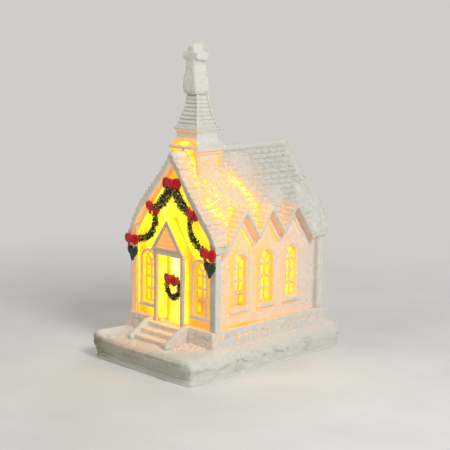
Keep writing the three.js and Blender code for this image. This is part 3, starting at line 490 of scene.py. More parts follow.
walls = {
    "sideGrid": 0.25,
    "frontGrid": 0.22,       # spacing of the grid's points across the end walls, and of their rows
    "rowGrid": 0.26,
    "faceInset": 1.8,        # the wall face behind the pilasters
    "pilaster": 2.6,
    "frontPilaster": 3.3,
    "corner": 0.6,
    "frameWidth": 1.1,
    "frameProud": 1.0,
    "paneMargin": 0.6,       # how far a pane reaches past its opening
    "sashDepth": 1.1,
    "paneDepth": 1.65,
    "sashBorder": 0.58,
    "bar": 0.35,             # half a glazing bar
    "headBar": 2.4,          # from the arch's spring line down to the head bar
    "forkRise": 1.3,         # from the head bar up to where the fork parts
    "sillProud": 1.5,
    "sillReach": 0.8,
    "rakeDrop": 4.2,
    "rakeWidth": 2.5,
    "rakeProud": 0.6,
    "trimDrop": 4.6,
    "trimWidth": 1.7,        # the batten under each gable's eaves
    "grooveLight": [0.6, 0.48, 0.16],
    "backing": 4.5,
}
wallLow, wallHigh = boxOf("nave_walls")
roofLow, roofHigh = boxOf("nave_roof")
halfWidth, frontY, rearY = wallHigh[0], wallLow[1], wallHigh[1]
faceX = halfWidth - walls["faceInset"]
roof = {
    "ridge": roofHigh[2],
    "eaveX": 24.7,
    "eaveTop": 50.0,
    "swell": 1.7,
    "thickness": 3.2,
    "courses": 17,
    "dormerPeak": 63.6,
    "dormerSlope": 1.4,
    "dormerThickness": 2.4,
    "tile": 4.7,             # width of one shingle
    "lip": 1.2,              # how far a shingle's butt stands off
    "slit": 0.5,             # half the width of the slit between two shingles
}
roofT = np.linspace(0, 1, 200)
swell = roof["swell"] * np.sin(np.pi * roofT ** 1.6)
roofX = roof["eaveX"] * roofT + 0.8 * swell
roofZ = roof["ridge"] + (roof["eaveTop"] - roof["ridge"]) * roofT + 0.55 * swell
bays = [float((boxOf(f"window_pane_right_{i}")[0][1] + boxOf(f"window_pane_right_{i}")[1][1]) / 2)
        for i in (1, 2, 3)]


def roofHeight(x):
    return np.interp(np.abs(x), roofX, roofZ)


def droop(x, y):
    # towards the door end the cast right slope lies lower, most about halfway down
    return 2.7 * ramp(-y, 11.5, 21) * ramp(x, 1.0, 8.5) * (1 - ramp(x, 15, 25))


def dormerHeight(y):
    away = np.min([np.abs(y - bay) for bay in bays], axis=0)
    return roof["dormerPeak"] - roof["dormerSlope"] * away


def archDistance(s, z, half, spring):
    # signed distance to a round-headed opening drawn from z = 0: negative inside
    return np.where(z > spring, np.hypot(s, z - spring) - half, np.maximum(np.abs(s) - half, -z))


def barDistance(s, z, half, spring):
    # distance to the nearest middle line: an upright, three crossbars, and a fork of two bent arms above
    edge = half - walls["sashBorder"]
    headZ = spring - walls["headBar"]
    pitch = (headZ - walls["sashBorder"]) / 3
    bars = np.where(z < headZ, np.abs(s), 9.0)
    for row in (1, 2, 3):
        bars = np.minimum(bars, np.abs(z - walls["sashBorder"] - row * pitch))
    fork = headZ + walls["bar"] + walls["forkRise"]
    bars = np.minimum(bars, segment(s, z, (0, headZ), (0, fork)))
    for side in (-1, 1):
        elbow = (side * edge * 0.42, spring + 0.3)
        bars = np.minimum(bars, segment(s, z, (0, fork), elbow))
        bars = np.minimum(bars, segment(s, z, elbow, (side * edge * 0.86, spring + edge * 0.62)))
    return bars


def windowRelief(depth, s, z, half, height):
    # frame, sill, reveal, sash with two columns of three lights, and a forked head, laid into the depth
    w = walls
    spring = height - half
    d = archDistance(s, z, half, spring)
    frameBand = ramp(d, -0.1, 0.25) * (1 - ramp(d, w["frameWidth"] - 0.15, w["frameWidth"] + 0.3))
    sillHalf = half + w["frameWidth"] + w["sillReach"]
    sill = ((1 - ramp(np.abs(s), sillHalf - 0.25, sillHalf + 0.2))
            * (1 - ramp(np.abs(z + w["frameWidth"]), 0.45, 0.85)))
    proud = np.maximum(w["frameProud"] * frameBand, w["sillProud"] * sill)
    depth = np.where(d < w["frameWidth"] + 0.6, np.maximum(depth, proud - w["faceInset"]), depth)
    depth = np.where(sill > 0.02, np.maximum(depth, -w["faceInset"] + w["sillProud"] * sill), depth)
    bars = barDistance(s, z, half, spring)
    border = -d
    solid = np.minimum(bars - w["bar"], border - w["sashBorder"])
    inside = -w["faceInset"] - w["sashDepth"] - (w["paneDepth"] - w["sashDepth"]) * ramp(solid, -0.06, 0.12)
    inside = inside - 0.12 * ramp(np.abs(bars), 0, w["bar"])
    step = ramp(-d, 0.0, 0.3)
    depth = np.where(d < 0.25, depth * (1 - step) + inside * step, depth)
    return depth, d


def wallGlow(light, depth, u, z):
    # thick proud work stays dull, flat wall takes the light as it comes, and steep sides catch more
    dz = np.gradient(z, axis=0)
    du = np.gradient(u, axis=1)
    steep = np.hypot(np.gradient(depth, axis=0) / dz, np.gradient(depth, axis=1) / du)
    raised = ramp(depth, -walls["faceInset"] + 0.25, -walls["faceInset"] + 0.9)
    return light * (1 - 0.93 * raised) + 0.3 * ramp(steep, 0.5, 2.2) * (0.2 + light)


def sashGlow(mark, clear, depth, sunk, reveal, bar):
    # sets the light of all that lies inside an opening, of its reveals and of the proud faces of its bars
    onReveal = ramp(clear, -0.35, -0.2) * (1 - ramp(clear, 0.05, 0.25))
    onBar = (clear < -0.3) * ramp(depth + walls["faceInset"] + walls["sashDepth"], -0.3, -0.12)
    mark = np.where(clear < 0.05, sunk, mark)
    mark = mark * (1 - onReveal) + onReveal * reveal
    return mark * (1 - onBar) + onBar * bar


def windowsOn(nodes, axis):
    # centre along the wall, sill, half width and height of each opening, from the pane behind it
    found = []
    for node in nodes:
        low, high = boxOf(node)
        margin = walls["paneMargin"]
        found.append(((low[axis] + high[axis]) / 2, low[2] + margin, (high[axis] - low[axis]) / 2 - margin,
                      high[2] - low[2] - 2 * margin))
    return found


def sideWall(name, side, nodes):
    # grid of y across and height up to the roof's underside, pushed along X by the relief
    y0, y1 = frontY + walls["pilaster"], rearY - walls["pilaster"]
    y = np.linspace(y0, y1, int((y1 - y0) / walls["sideGrid"]))[None, :]
    top = np.maximum(dormerHeight(y) - roof["dormerThickness"], roofHeight(faceX) - roof["thickness"]) - 0.3
    rows = int((top.max() - wallLow[2]) / walls["sideGrid"])
    z = wallLow[2] + np.linspace(0, 1, rows)[:, None] * (top - wallLow[2])
    y = y + 0 * z
    depth = -walls["faceInset"] * ramp(y, y0, y0 + 0.5) * ramp(y1 - y, 0, 2.6) ** 0.8
    trim = dormerHeight(y) - walls["trimDrop"] - z
    beyond = trim - walls["trimWidth"]
    band = ramp(trim, -0.2, 0.25) * (1 - ramp(beyond, -0.3, 0.3))
    bay = np.argmin([np.abs(y - b) for b in bays], axis=0)
    groove = ramp(beyond, 0.1, 0.4) * (1 - ramp(beyond, 1.3, 1.9)) * ramp(y - np.choose(bay, bays), 0.5, 1.5)
    groove = groove * ramp(z, 47, 49) * np.choose(bay, walls["grooveLight"])
    depth = depth + 0.9 * band * ramp(z, 47, 49)
    place = np.stack([side * faceX + 0 * y, y, z], -1)
    depth = depth + 0.09 * rough(place, 2.6, 5) + 0.05 * noise(place, 0.9, 9)
    clear = np.full(z.shape, 9.0)
    flank = np.zeros(z.shape)
    for centre, sill, half, height in windowsOn(nodes, 1):
        depth, d = windowRelief(depth, y - centre, z - sill, half, height)
        clear = np.minimum(clear, d)
        away = (centre - y) / (half + walls["frameWidth"])
        flank = np.maximum(flank, ramp(away, 0.1, 0.6) * (d < 3))
    # a thin lit line where the wall meets the stones
    light = lampGlow(side * faceX + 0 * y, y, z) + 0.32 * ramp(19.2 - z, 0, 1.5) * decay(y + 5, 34)
    light = light * (1 + 0.3 * noise(place, 9, 3)) + 0.08 * (1 - ramp(clear, 0, 6))
    mark = wallGlow(light, depth, y, z)
    # the flank of each frame that faces the door end, and the reveals, are thin and shine through
    edge = walls["frameWidth"]
    rim = ramp(clear, edge - 0.25, edge + 0.05) * (1 - ramp(clear, edge + 0.35, edge + 0.8))
    mark = mark + 0.26 * flank * rim * (0.4 + 0.6 * decay(y + 4, 26))
    mark = sashGlow(mark, clear, depth, 0.6, 0.74 - 0.3 * ramp(np.abs(y - 1), 5, 16), 0.03) + groove
    points = np.stack([side * (halfWidth + depth), y, z], -1)
    points, quads, fan = backed(points, (-side * walls["backing"], 0, 0))
    extra = len(points) - mark.size
    # painted shade in the corner where the right wall turns out to the rear pilaster
    cornerShade = 0.55 * bell(y - y1 + 1.5, 0.8) * (side > 0)
    return makePiece(name, points, quads, wallResin, "nave_walls", triangles=fan,
                     marks={"glow": spread(np.clip(mark, 0, 1.3), extra, 0.3), "crease": spread(cornerShade, extra),
                            "stipple": spread(0.3 * ramp(-y, 15, 20) + 0.08, extra)})


def gableWall(name, facing, endY, nodes, door=None):
    # the path runs along the end wall and turns each corner by one pilaster, up to the roof's underside
    w = walls
    straight = halfWidth - w["corner"]
    reach = straight + w["corner"] * math.pi / 2 + w["pilaster"] - w["corner"]
    u = np.linspace(-reach, reach, int(2 * reach / w["frontGrid"]))[None, :]
    away = np.abs(u)
    arc = np.clip((away - straight) / w["corner"], 0, math.pi / 2)
    past = np.maximum(away - straight - w["corner"] * math.pi / 2, 0)
    x = np.sign(u) * (np.minimum(away, straight) + w["corner"] * np.sin(arc))
    y = endY - facing * (w["corner"] * (1 - np.cos(arc)) + past)
    nx, ny = np.sign(u) * np.sin(arc), facing * np.cos(arc)
    lower = droop(x, endY)
    top = roofHeight(x) - lower - roof["thickness"] - 0.3
    rows = int((top.max() - wallLow[2]) / w["rowGrid"])
    z = wallLow[2] + np.linspace(0, 1, rows)[:, None] * (top - wallLow[2])
    x, y, nx, ny, u = (v + 0 * z for v in (x, y, nx, ny, u))
    depth = -w["faceInset"] * ramp(halfWidth - w["frontPilaster"] - np.abs(u), -0.1, 0.5)
    drop = roofHeight(x) - lower - z
    rake = ramp(drop, w["rakeDrop"] - 0.3, w["rakeDrop"] + 0.2)
    rakeEnd = w["rakeDrop"] + w["rakeWidth"]
    rake = rake * (1 - ramp(drop, rakeEnd - 0.3, rakeEnd + 0.25))
    depth = np.where(np.abs(u) < halfWidth - w["frontPilaster"], depth + w["rakeProud"] * rake, depth)
    place = np.stack([x, y, z], -1)
    depth = depth + 0.07 * rough(place, 3.0, 15) + 0.03 * noise(place, 0.9, 19)
    clear = np.full(z.shape, 9.0)
    for centre, sill, half, height in windowsOn(nodes, 0):
        depth, d = windowRelief(depth, x - centre, z - sill, half, height)
        clear = np.minimum(clear, d)
    light = lampGlow(x, y, z)
    light = light * (1 + 0.08 * noise(place, 7, 23))
    onFace = ramp(halfWidth - w["frontPilaster"] - np.abs(u), -0.6, 0.2)
    light = light * (0.16 + 0.84 * onFace) * (1 - 0.75 * (1 - ramp(halfWidth + 0.5 - np.abs(u), 0, 1.2)))
    light = light - (0.3 * (1 - ramp(drop, w["rakeDrop"] - 0.4, w["rakeDrop"] + 0.1))
                     + (0.5 - 0.25 * ramp(-x, 0, 2)) * rake) * onFace
    if facing > 0:
        light = 0.25 * light
    mark = wallGlow(light, depth, u, z)
    if facing < 0:
        onPost = (1 - onFace) * (1 - ramp(np.abs(u), halfWidth - 1.0, halfWidth - 0.2))
        mark = mark + onPost * (0.4 * ramp(-x, 18, 20) + 0.22 * ramp(x, 18, 20) * ramp(z, 24, 46))
    side = 0.16 * ramp(x, 5, 12)
    mark = sashGlow(mark, clear, depth, 0.7, 0.95 - 1.4 * side, 0.42 - side)
    if door:
        high = boxOf(door)[1]
        hole = np.maximum(np.abs(x) - high[0] - 0.1, z - high[2] - 0.2)
        depth = np.where(hole < 0.15, depth - 2.6 * ramp(-hole, -0.15, 0.1), depth)
    points = np.stack([x + nx * depth, y + ny * depth, z], -1)
    points, quads, fan = backed(points, (0, 0, 0))
    keep = len(points) - mark.size
    points[mark.size:, 1] = np.where(np.abs(points[mark.size:, 1] - endY) < 9, endY - facing * 4.4, 0)
    points[mark.size:, 0] *= 0.9
    # painted shade on the front faces of the corner pilasters, less on the left one
    pilasterShade = 0.4 * (1 - onFace) * ramp(np.abs(ny), 0.5, 0.8) * (facing < 0) * (1 - 0.6 * ramp(-x, 18, 20))
    return makePiece(name, points, quads, wallResin, "nave_walls", triangles=fan,
                     marks={"glow": spread(np.clip(mark, 0, 1.3), keep, 0.3), "crease": spread(pilasterShade, keep)})


sides = [("right", 1), ("left", -1)]
for word, side in sides:
    sideWall(f"wall_{word}", side, [f"window_pane_{word}_{i}" for i in (1, 2, 3)])
gableWall("wall_front", -1, frontY, ["window_pane_front_left", "window_pane_front_right"], "front_door")
gableWall("wall_rear", 1, rearY, ["window_pane_rear_left", "window_pane_rear_right"])
print("walls made")

# window panes: a cushion of film between the bars

panes = {"grid": 0.16, "crown": 0.4, "behind": 0.12, "thickness": 1.5}


def windowPane(node, axis, outward, wall):
    # the arch filled with a grid, swelling by a rounded cushion between each pair of bars
    (centre, sill, half, height), = windowsOn([node], axis)
    margin = walls["paneMargin"] - 0.1
    s = np.linspace(-half - margin, half + margin, int(2 * (half + margin) / panes["grid"]))[None, :]
    spring = height - half
    top = spring + np.sqrt(np.maximum((half + margin) ** 2 - s ** 2, 0.01))
    z = -margin + np.linspace(0, 1, int((height + 2 * margin) / panes["grid"]))[:, None] * (top + margin)
    s = s + 0 * z
    room = np.clip(np.minimum(barDistance(s, z, half, spring) - walls["bar"],
                              -archDistance(s, z, half, spring) - walls["sashBorder"]), 0, 1.1)
    cushion = panes["crown"] * np.sqrt(1 - (1 - room / 1.1) ** 2)
    face = halfWidth if axis == 1 else rearY if outward > 0 else -frontY
    along = outward * (face - walls["faceInset"] - walls["sashDepth"] - panes["behind"] + cushion)
    parts = [None, None, z + sill]
    parts[axis] = s + centre
    parts[1 - axis] = along
    points = np.stack(parts, -1)
    brightness = 0.6 + 0.4 * ramp(room, 0.02, 0.4) + 0.12 * noise(points, 2.2, 41)
    brightness = brightness - wall * ramp(11 - z, 0, 6) * (0.55 + 0.45 * noise(points, 3.1, 43))
    shift = [0, 0, 0]
    shift[1 - axis] = -outward * panes["thickness"]
    points, quads, fan = backed(points, shift)
    return makePiece(f"film_{node[12:]}", points, quads, paneFilm, node, triangles=fan,
                     marks={"glow": spread(np.clip(brightness, 0, 1), len(points) - z.size, 0.5)})


for word, side in sides:
    for i, lower in ((1, 0.6), (2, 0.1), (3, 0.25)):
        windowPane(f"window_pane_{word}_{i}", 1, side, lower)
for word, lower in (("left", 0.05), ("right", 0.55)):
    windowPane(f"window_pane_front_{word}", 0, -1, lower)
    windowPane(f"window_pane_rear_{word}", 0, 1, 0.5)
print("panes made")

# roof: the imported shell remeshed, its slopes raised into rounded shingles and snow

drifts = [
    # centre along the ridge and height (mm), half sizes: smooth snow that hides the shingles
    (5.0, 77.4, 5.4, 5.2), (-8.5, 69.5, 8.0, 7.0), (15.5, 65.5, 5.0, 3.4),
    (-21.6, 70.0, 2.2, 2.8),
]
lightBands = [
    # points down the slope (y, height), width and strength of the light that shows through
    ([(-21.2, 69.5), (-20.0, 65), (-18.0, 61), (-14.6, 58.2), (-13.6, 54)], 2.8, 0.78),
    ([(-4.4, 72.4), (-1.6, 69.6), (0.2, 66.6), (0.6, 61.5)], 2.6, 0.85),
    ([(-18.6, 73.5), (-16.6, 68.5), (-12.5, 66.0)], 2.6, 0.4),
    ([(-11.0, 72.0), (-6.5, 69.5)], 2.4, 0.35),
]


def shingleHeight(course, across, seed):
    # rows of shingles: each rises from its top to a rounded butt, and a short slit, bowed like a bracket,
    # parts two neighbours; rows are staggered by half a shingle
    row = np.floor(course)
    rise = course - row
    place = across / roof["tile"] + 0.5 * (row % 2) + 0.22 * lattice(row.astype(np.int64), 0, 7, seed)
    index = np.floor(place)
    slitAt = 0.9 - 0.12 * (2 * rise - 1) ** 2
    slit = 1 - ramp(np.abs(place - index - slitAt) * roof["tile"], roof["slit"] * 0.35, roof["slit"])
    slit = slit * ramp(rise, 0.22, 0.36) * (1 - ramp(rise, 0.9, 1.0))
    tilt = 0.35 * (lattice(index.astype(np.int64), row.astype(np.int64), 3, seed) - 0.5)
    height = roof["lip"] * (rise ** 1.4 * (1 - ramp(rise, 0.84, 1.04)) * (1 + tilt) - 0.62 * slit)
    return height, rise, slit


def roofPieces():
    points, quads = remeshed(["nave_roof"], 0.31, 2)
    normals = normalsOf(points, quads)
    x, y, z = points.T
    mainT = np.interp(np.abs(x), roofX, roofT)
    mainGap = z - roofHeight(x)
    dormerGap = z - dormerHeight(y)
    onDormer = (np.abs(dormerGap) < 1.0) & (np.abs(normals[:, 1]) > 0.35) & (normals[:, 2] > 0.3)
    onDormer = onDormer & (z > 51) & (np.abs(x) > 14)
    isMain = (mainGap > -1.3) & (mainGap < 1.4) & (normals[:, 2] > -0.25) & ~onDormer
    isMain = isMain & (np.abs(x) < roof["eaveX"] + 0.4)
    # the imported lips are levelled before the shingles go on
    points[:, 2] = np.where(isMain & (z < roof["ridge"] - 1.5), z - np.clip(mainGap, -0.9, 0.9), z)
    blotch = rough(points, 6, 61)
    course = mainT * roof["courses"] + 0.07 * noise(points, 5, 2) + 0.05 * noise(points, 1.6, 4)
    mainHigh, mainRise, mainSlit = shingleHeight(course, y, 3)
    away = np.min([np.abs(y - bay) for bay in bays], axis=0)
    slope = math.hypot(1, roof["dormerSlope"])
    smallHigh, smallRise = shingleHeight(away * slope / 2.1 + 0.1 * blotch, np.abs(x), 5)[:2]
    patch = 0 * z
    for py, pz, ry, rz in drifts:
        reach = np.hypot((y - py) / ry, (z - pz) / rz) + 0.2 * blotch
        patch = np.maximum(patch, (1 - ramp(reach, 0.75, 1.0)) * (x > 0))
    patch = np.maximum(patch, ramp(y + 2.0 * blotch, 27, 30) * ramp(68.5 - z + 2 * blotch, 0, 3))
    patch = np.maximum(patch, ramp(y, 33.5, 35.5) * ramp(z, 50, 52))
    patch = np.maximum(patch, (x < 0) * ramp(blotch, 0.5, 0.9) * 0.9)
    # a round roll of snow lies along the ridge
    fromRidge = mainT * 34.6
    crest = (1 - ramp(fromRidge, 1.9, 2.3)) * isMain
    roll = np.sqrt(np.clip(1 - (fromRidge / 2.2) ** 2, 0, 1)) * isMain
    patch = np.maximum(patch, crest)
    lift = np.where(isMain, mainHigh * (1 - patch) + (0.45 + 0.12 * blotch) * patch,
                    np.where(onDormer, smallHigh * 0.5, 0))
    lift = (lift + 0.5 * roll + 0.1 * rough(points, 2.6, 71) * (isMain | onDormer)
            + 0.12 * patch * noise(points, 1.1, 77))
    # the drift over the rear eave, and the hollow above it
    drift = ramp(y, 27, 31) * ramp(69 - z, 0, 2) * isMain
    lift = lift + drift * (0.5 + 0.5 * np.maximum(rough(points, 4.0, 81), -0.5))
    lift = lift - 1.2 * ramp(y, 31, 36) * bell(z - 70.8, 1.4) * isMain
    # snow banked against the tower's right side
    beside = np.maximum(np.abs(y + 13.4) - 6.6, 0)
    lift = lift + 0.9 * np.exp(-((np.abs(x) - 7.2) / 1.6) ** 2 - (beside / 1.5) ** 2) * isMain * (x > 0)
    band = 0 * z
    for path, width, strength in lightBands:
        near = np.min([segment(y, z, a, b) for a, b in zip(path[:-1], path[1:])], axis=0)
        band = np.maximum(band, strength * bell(near, width) * (x > 0))
    band = np.maximum(band, 0.8 * np.exp(-((y + 12) / 7) ** 2 - ((z - 68) / 7) ** 2) * (x < 0))
    streak = rough(points, 2.2, 91)
    zone = np.exp(-np.maximum(np.abs(y + 10) - 9, 0) ** 2 / (2 * 9.0 ** 2)) * ramp(84 - z, 0, 8)
    base = 0.19 * zone + 0.26 * zone * (1 - ramp(mainRise, 0.02, 0.3)) * (1 - patch) * (x > 0)
    # shingles in front of the tower take its light
    gate = 0.66 * decay(-20.6 - y, 3.0) * ramp(-20.2 - y, -0.2, 0.3)
    gate = gate * ramp(x, -2, 1.5) * (1 - ramp(x, 8.5, 12))
    bright = base + np.maximum(band * (0.6 + 0.4 * ramp(streak, -0.5, 0.3)), gate)
    bright = bright * (1 - (0.5 * ramp(mainRise, 0.5, 0.75) - 0.3 * (1 - ramp(mainRise, 0.0, 0.25)))
                       * (1 - patch))
    bright = bright + 0.55 * zone * mainSlit * (1 - patch)
    bright = bright * (1 - 0.2 * patch)
    dots = np.exp(-np.maximum(np.hypot((y + 9.5) / 10.5, (z - 69) / 10) - 0.55, 0) ** 2 / 0.1)
    dots = dots * (x > 0) * isMain
    # each dormer's slope is brightest where it leaves the main roof: yellow, then orange, then peach
    inner = np.abs(x) - np.interp(z, roofZ[::-1], roofX[::-1])
    bay = np.argmin([np.abs(y - b) for b in bays], axis=0)
    deep = np.choose(bay, [0.8, 0.86, 0.64])
    shallow = np.choose(bay, [0.28, 0.38, 0.2])
    dormerLight = shallow + (deep - shallow) * decay(inner, np.choose(bay, [2.4, 3.6, 1.8]))
    dormerLight = dormerLight + 0.14 * streak + 0.12 * (1 - ramp(away, 5.2, 7.2)) * (bay == 0)
    dormerLight = np.where(y > bays[2], 0.08, dormerLight)
    bright = np.where(onDormer, dormerLight, bright)
    underside = (normals[:, 2] < -0.1) & (np.abs(x) > faceX - 1.2)
    soffit = np.choose(bay, [0.42, 0.31, 0.13])
    bright = np.where(isMain | onDormer, bright, np.where(underside, soffit, 0.03))
    overFront = (normals[:, 2] < -0.1) & (y < frontY + 2) & (x < 0) & (np.abs(x) < faceX - 1.2)
    bright = np.where(overFront, 0.5, bright)
    bright = np.where((np.abs(normals[:, 0]) > 0.72) & (np.abs(x) > 25.6), 0.03, bright)
    bright = np.where((normals[:, 1] < -0.6) & (y < roofLow[1] + 0.8), 0.06, bright)
    # painted shade under each butt and in the slits, less where the light comes through
    crease = 0.46 * (1 - ramp(mainRise, 0.02, 0.3)) + 0.16 * ramp(mainRise, 0.9, 1.0) + 0.48 * mainSlit
    crease = crease * isMain * (1 - patch) * (1 - 0.6 * zone * (x > 0))
    # painted shade along the lower edge of the ridge roll, under the dormers' butts and over the whole
    # rearmost dormer
    crease = crease + 0.2 * crest * ramp(fromRidge, 1.7, 2.1)
    crease = crease + onDormer * (0.12 * (1 - ramp(smallRise, 0, 0.3)) + 0.22 * (bay == 2))
    # painted shade on the undersides and on the front edge faces
    crease = np.where(underside, 0.3, crease)
    front = (normals[:, 1] < -0.6) & (y < roofLow[1] + 0.8) & (x > 0)
    crease = np.where(front, 0.3, crease)
    points = points + normals * lift[:, None]
    # in front of the tower the ridge lies lower, and the right slope sinks towards the door end
    sag = 1.4 * ramp(-20.3 - y, -0.4, 0.4) * (1 - ramp(mainT, 0.25, 0.75))
    lower = np.maximum(sag, droop(x, y)) * (roofHeight(x) - z < 4.6) * (1 - onDormer)
    nearDormer = (np.abs(dormerGap) < 3.4) & (np.abs(x) > 15) & (dormerGap + 0.4 > mainGap - 3.4) & ~isMain
    lower = np.where(nearDormer & (y > bays[0] - 9.2), 0, lower)
    points[:, 2] -= lower
    points[:, 2] = np.minimum(points[:, 2], roof["ridge"] + 0.45)
    points[:, 0] = np.clip(points[:, 0], roofLow[0], roofHigh[0])
    points[:, 1] = np.clip(points[:, 1], roofLow[1] - 0.1, roofHigh[1] + 0.1)
    centre = points[quads].mean(1)[:, 0]
    for word, sign in sides:
        chosen = quads[centre * sign > 0]
        used, places = np.unique(chosen, return_inverse=True)
        marks = {"glow": np.clip(bright[used], 0, 1.3), "crease": np.clip(crease[used], 0, 1),
                 "stipple": np.clip(dots[used], 0, 1)}
        makePiece(f"roof_{word}", points[used], places.reshape(-1, 4), roofResin, "nave_roof",
                  marks=marks)


roofPieces()
print("roof made")

# cast pieces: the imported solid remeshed, worn and roughened, with its own relief

def castPiece(name, nodes, voxel, shape, material, smoothing=2, bent=None, extra=None):
    points, quads = remeshed(nodes, voxel, smoothing)
    if bent is not None:
        points = bent(points)
    normals = normalsOf(points, quads)
    marks = shape(points, normals)
    lift, mark, crease = marks[:3]
    stipple = marks[3] if len(marks) > 3 else 0 * mark
    points = points + normals * np.asarray(lift)[:, None]
    crease, stipple = crease + 0 * mark, stipple + 0 * mark
    if extra is not None:
        more, moreQuads, moreMark = extra
        quads = np.vstack([quads, moreQuads + len(points)])
        points = np.vstack([points, more])
        # the crumbs take a little painted shade all over, and a few dots of light
        pairs = ((mark, 0.0), (crease, 0.1), (stipple, 0.1))
        mark, crease, stipple = (spread(a, len(more), b) for a, b in pairs)
        mark[-len(more):] = moreMark
    return makePiece(name, points, quads, material, nodes,
                     marks={"glow": np.clip(mark, 0, 1.3), "crease": np.clip(crease, 0, 1),
                            "stipple": np.clip(stipple, 0, 1)})


# plinth: snow lying on a rocky rim

rock = {
    "voxel": 0.42,
    "corner": 8.0,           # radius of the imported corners
    "ledge": 0.55,           # depth of the crack along the sides
    "pits": 0.5,
    "snow": 0.12,            # how far the snow on top rolls
    "crumbs": 120,
}
plinthHigh = boxOf("plinth")[1]
foundationLow, foundationHigh = boxOf("foundation")


def plinthBent(p):
    # the rounded corners drawn out towards a squarer rounding, most along each corner's diagonal
    p = p.copy()
    a = np.abs(p[:, 0]) - (plinthHigh[0] - rock["corner"])
    b = np.abs(p[:, 1]) - (plinthHigh[1] - rock["corner"])
    turn = np.arctan2(np.maximum(b, 0), np.maximum(a, 0))
    cosine, sine = np.abs(np.cos(turn)), np.abs(np.sin(turn))
    side = np.minimum(cosine, sine) / np.maximum(cosine, sine)
    tight = np.where((p[:, 0] > 0) & (p[:, 1] < 0), 0.16, 0.26)
    grow = 1 + tight * side ** 1.5
    corner = (a > 0) & (b > 0)
    p[:, 0] += np.where(corner, np.sign(p[:, 0]) * a * (grow - 1), 0)
    p[:, 1] += np.where(corner, np.sign(p[:, 1]) * b * (grow - 1), 0)
    return p


def plinthShape(p, n):
    # front: a low ledge under a plain worn face; sides: one broken crack with pits halfway up;
    # the snow banks against the foundation and is crisp along the front edge
    x, y, z = p.T
    wall = ramp(1 - np.abs(n[:, 2]), 0.1, 0.6) * ramp(z, 0.3, 1.2)
    front = ramp(-n[:, 1], 0.35, 0.8)
    wander = 0.7 * noise(p * (1, 1, 0), 9, 7) + 0.3 * noise(p * (1, 1, 0), 3.4, 8)
    low = ramp(2.6 + 0.7 * wander - z, -0.25, 0.25)
    seam = bell(z - 2.6 - 0.7 * wander, 0.34)
    crack = bell(z - 4.9 - wander, 0.4) * ramp(noise(p * (1, 1, 0), 5, 12), -0.1, 0.3)
    below = ramp(4.9 + wander - z, 0, 0.6)
    holes = cells(x + y, z, 4.2, 31, 0.9)
    pit = (1 - ramp(holes[0], 0.25, 0.8)) * (holes[2] > 0.25) * bell(z - 5.2 - wander, 1.0) * (1 - front)
    worn = rough(p * (1, 1, 1.4), 6.5, 11) + 0.5 * rough(p, 2.4, 13) * (1 - front)
    cut = (1 - front) * (rock["ledge"] * crack * (1 - 0.7 * ramp(-x, 18, 28)) + 0.12 * below)
    lift = -wall * (front * (0.14 * seam - 0.08 * low) + cut + rock["pits"] * pit)
    lift = lift + wall * ((0.32 + 0.26 * front) * np.clip(worn, -1.2, 0.4) - 0.12)
    lift = lift - wall * (1 - ramp(z, 0.3, 2.2)) * (0.45 + 0.4 * rough(p * (1, 1, 0), 7, 14))
    lift = lift + 0.34 * (rough(p, 3.6, 16) - 0.2) * wall * (0.5 + 0.5 * ramp(z, 4, 8))
    # the left front corner is undercut, and snow lies heaped along its rim
    lift = lift - 0.9 * wall * ramp(-x, 12, 28) * ramp(-y, 34, 42) * (1 - ramp(z, 0.6, 5.0))
    chips = ramp(rough(p * (1, 1, 0.5), 2.6, 18), 0.35, 0.8) * ramp(z, 6.5, 8.5) * ramp(10.4 - z, -0.6, 0.4)
    lift = lift - 0.5 * chips * wall
    edge = ramp(n[:, 2] * 0.7 - n[:, 1] * 0.7, 0.8, 0.97) * ramp(z, 6, 8)
    lift = lift + 0.55 * edge
    top = ramp(n[:, 2], 0.4, 0.9) * ramp(z, 8, 9)
    lift = lift + top * (rock["snow"] * rough(p, 5, 21) + 0.09 * noise(p, 1.1, 27))
    frontEdge = ramp(-y, 37, 40)
    outside = np.hypot(np.maximum(np.abs(x) - foundationHigh[0] + 0.6, 0),
                       np.maximum(np.maximum(y - foundationHigh[1] + 0.6, foundationLow[1] + 0.6 - y), 0))
    bank = bell(outside, 1.5)
    lift = lift + top * (0.8 * bell(x + 26.2, 2.0) * ramp(-y, 24, 36) * (0.7 + 0.4 * noise(p, 3.2, 33))
                         + 0.35 * frontEdge * rough(p, 2.8, 35))
    lift = lift + top * bank * (0.8 + 0.35 * noise(p, 2.2, 29))
    lift = np.where((z < 0.4) | (np.abs(n[:, 2] + 1) < 0.1), 0, lift)
    near = decay(outside - 0.5, 2.6)
    frontLit = np.exp(-np.hypot(x / 15, (y + 35) / 9) ** 2) * top
    warm = (0.12 * frontLit * ramp(rough(p, 2.2, 31), -0.7, 0.3)
            + 0.16 * near * top * np.exp(-np.abs(y + 8) / 30))
    warm = warm + 0.16 * edge * bell(x + 4, 14)
    # painted shade: the front face, darkest towards its left end, the faces turned to the left, and the
    # seam, crack, pits, chips and low spots of the worn faces; a little on the lit snow in front as well
    edgewise = 0.46 * ramp(-x, 12, 28) - 0.4 * ramp(x, 22, 29)
    crease = wall * (front * (0.51 + edgewise + 0.25 * seam - 0.2 * low)
                     + (1 - front) * (0.02 + 0.4 * crack + 0.06 * below)
                     + 0.8 * pit + 0.16 * ramp(-worn, 0.2, 0.9) + 0.25 * chips)
    crease = crease + 0.3 * ramp(-n[:, 0], 0.4, 0.8) * wall * (1 - front) + 0.14 * frontLit
    return lift, warm, crease, 0.3 * near * top + 0.25 * frontLit


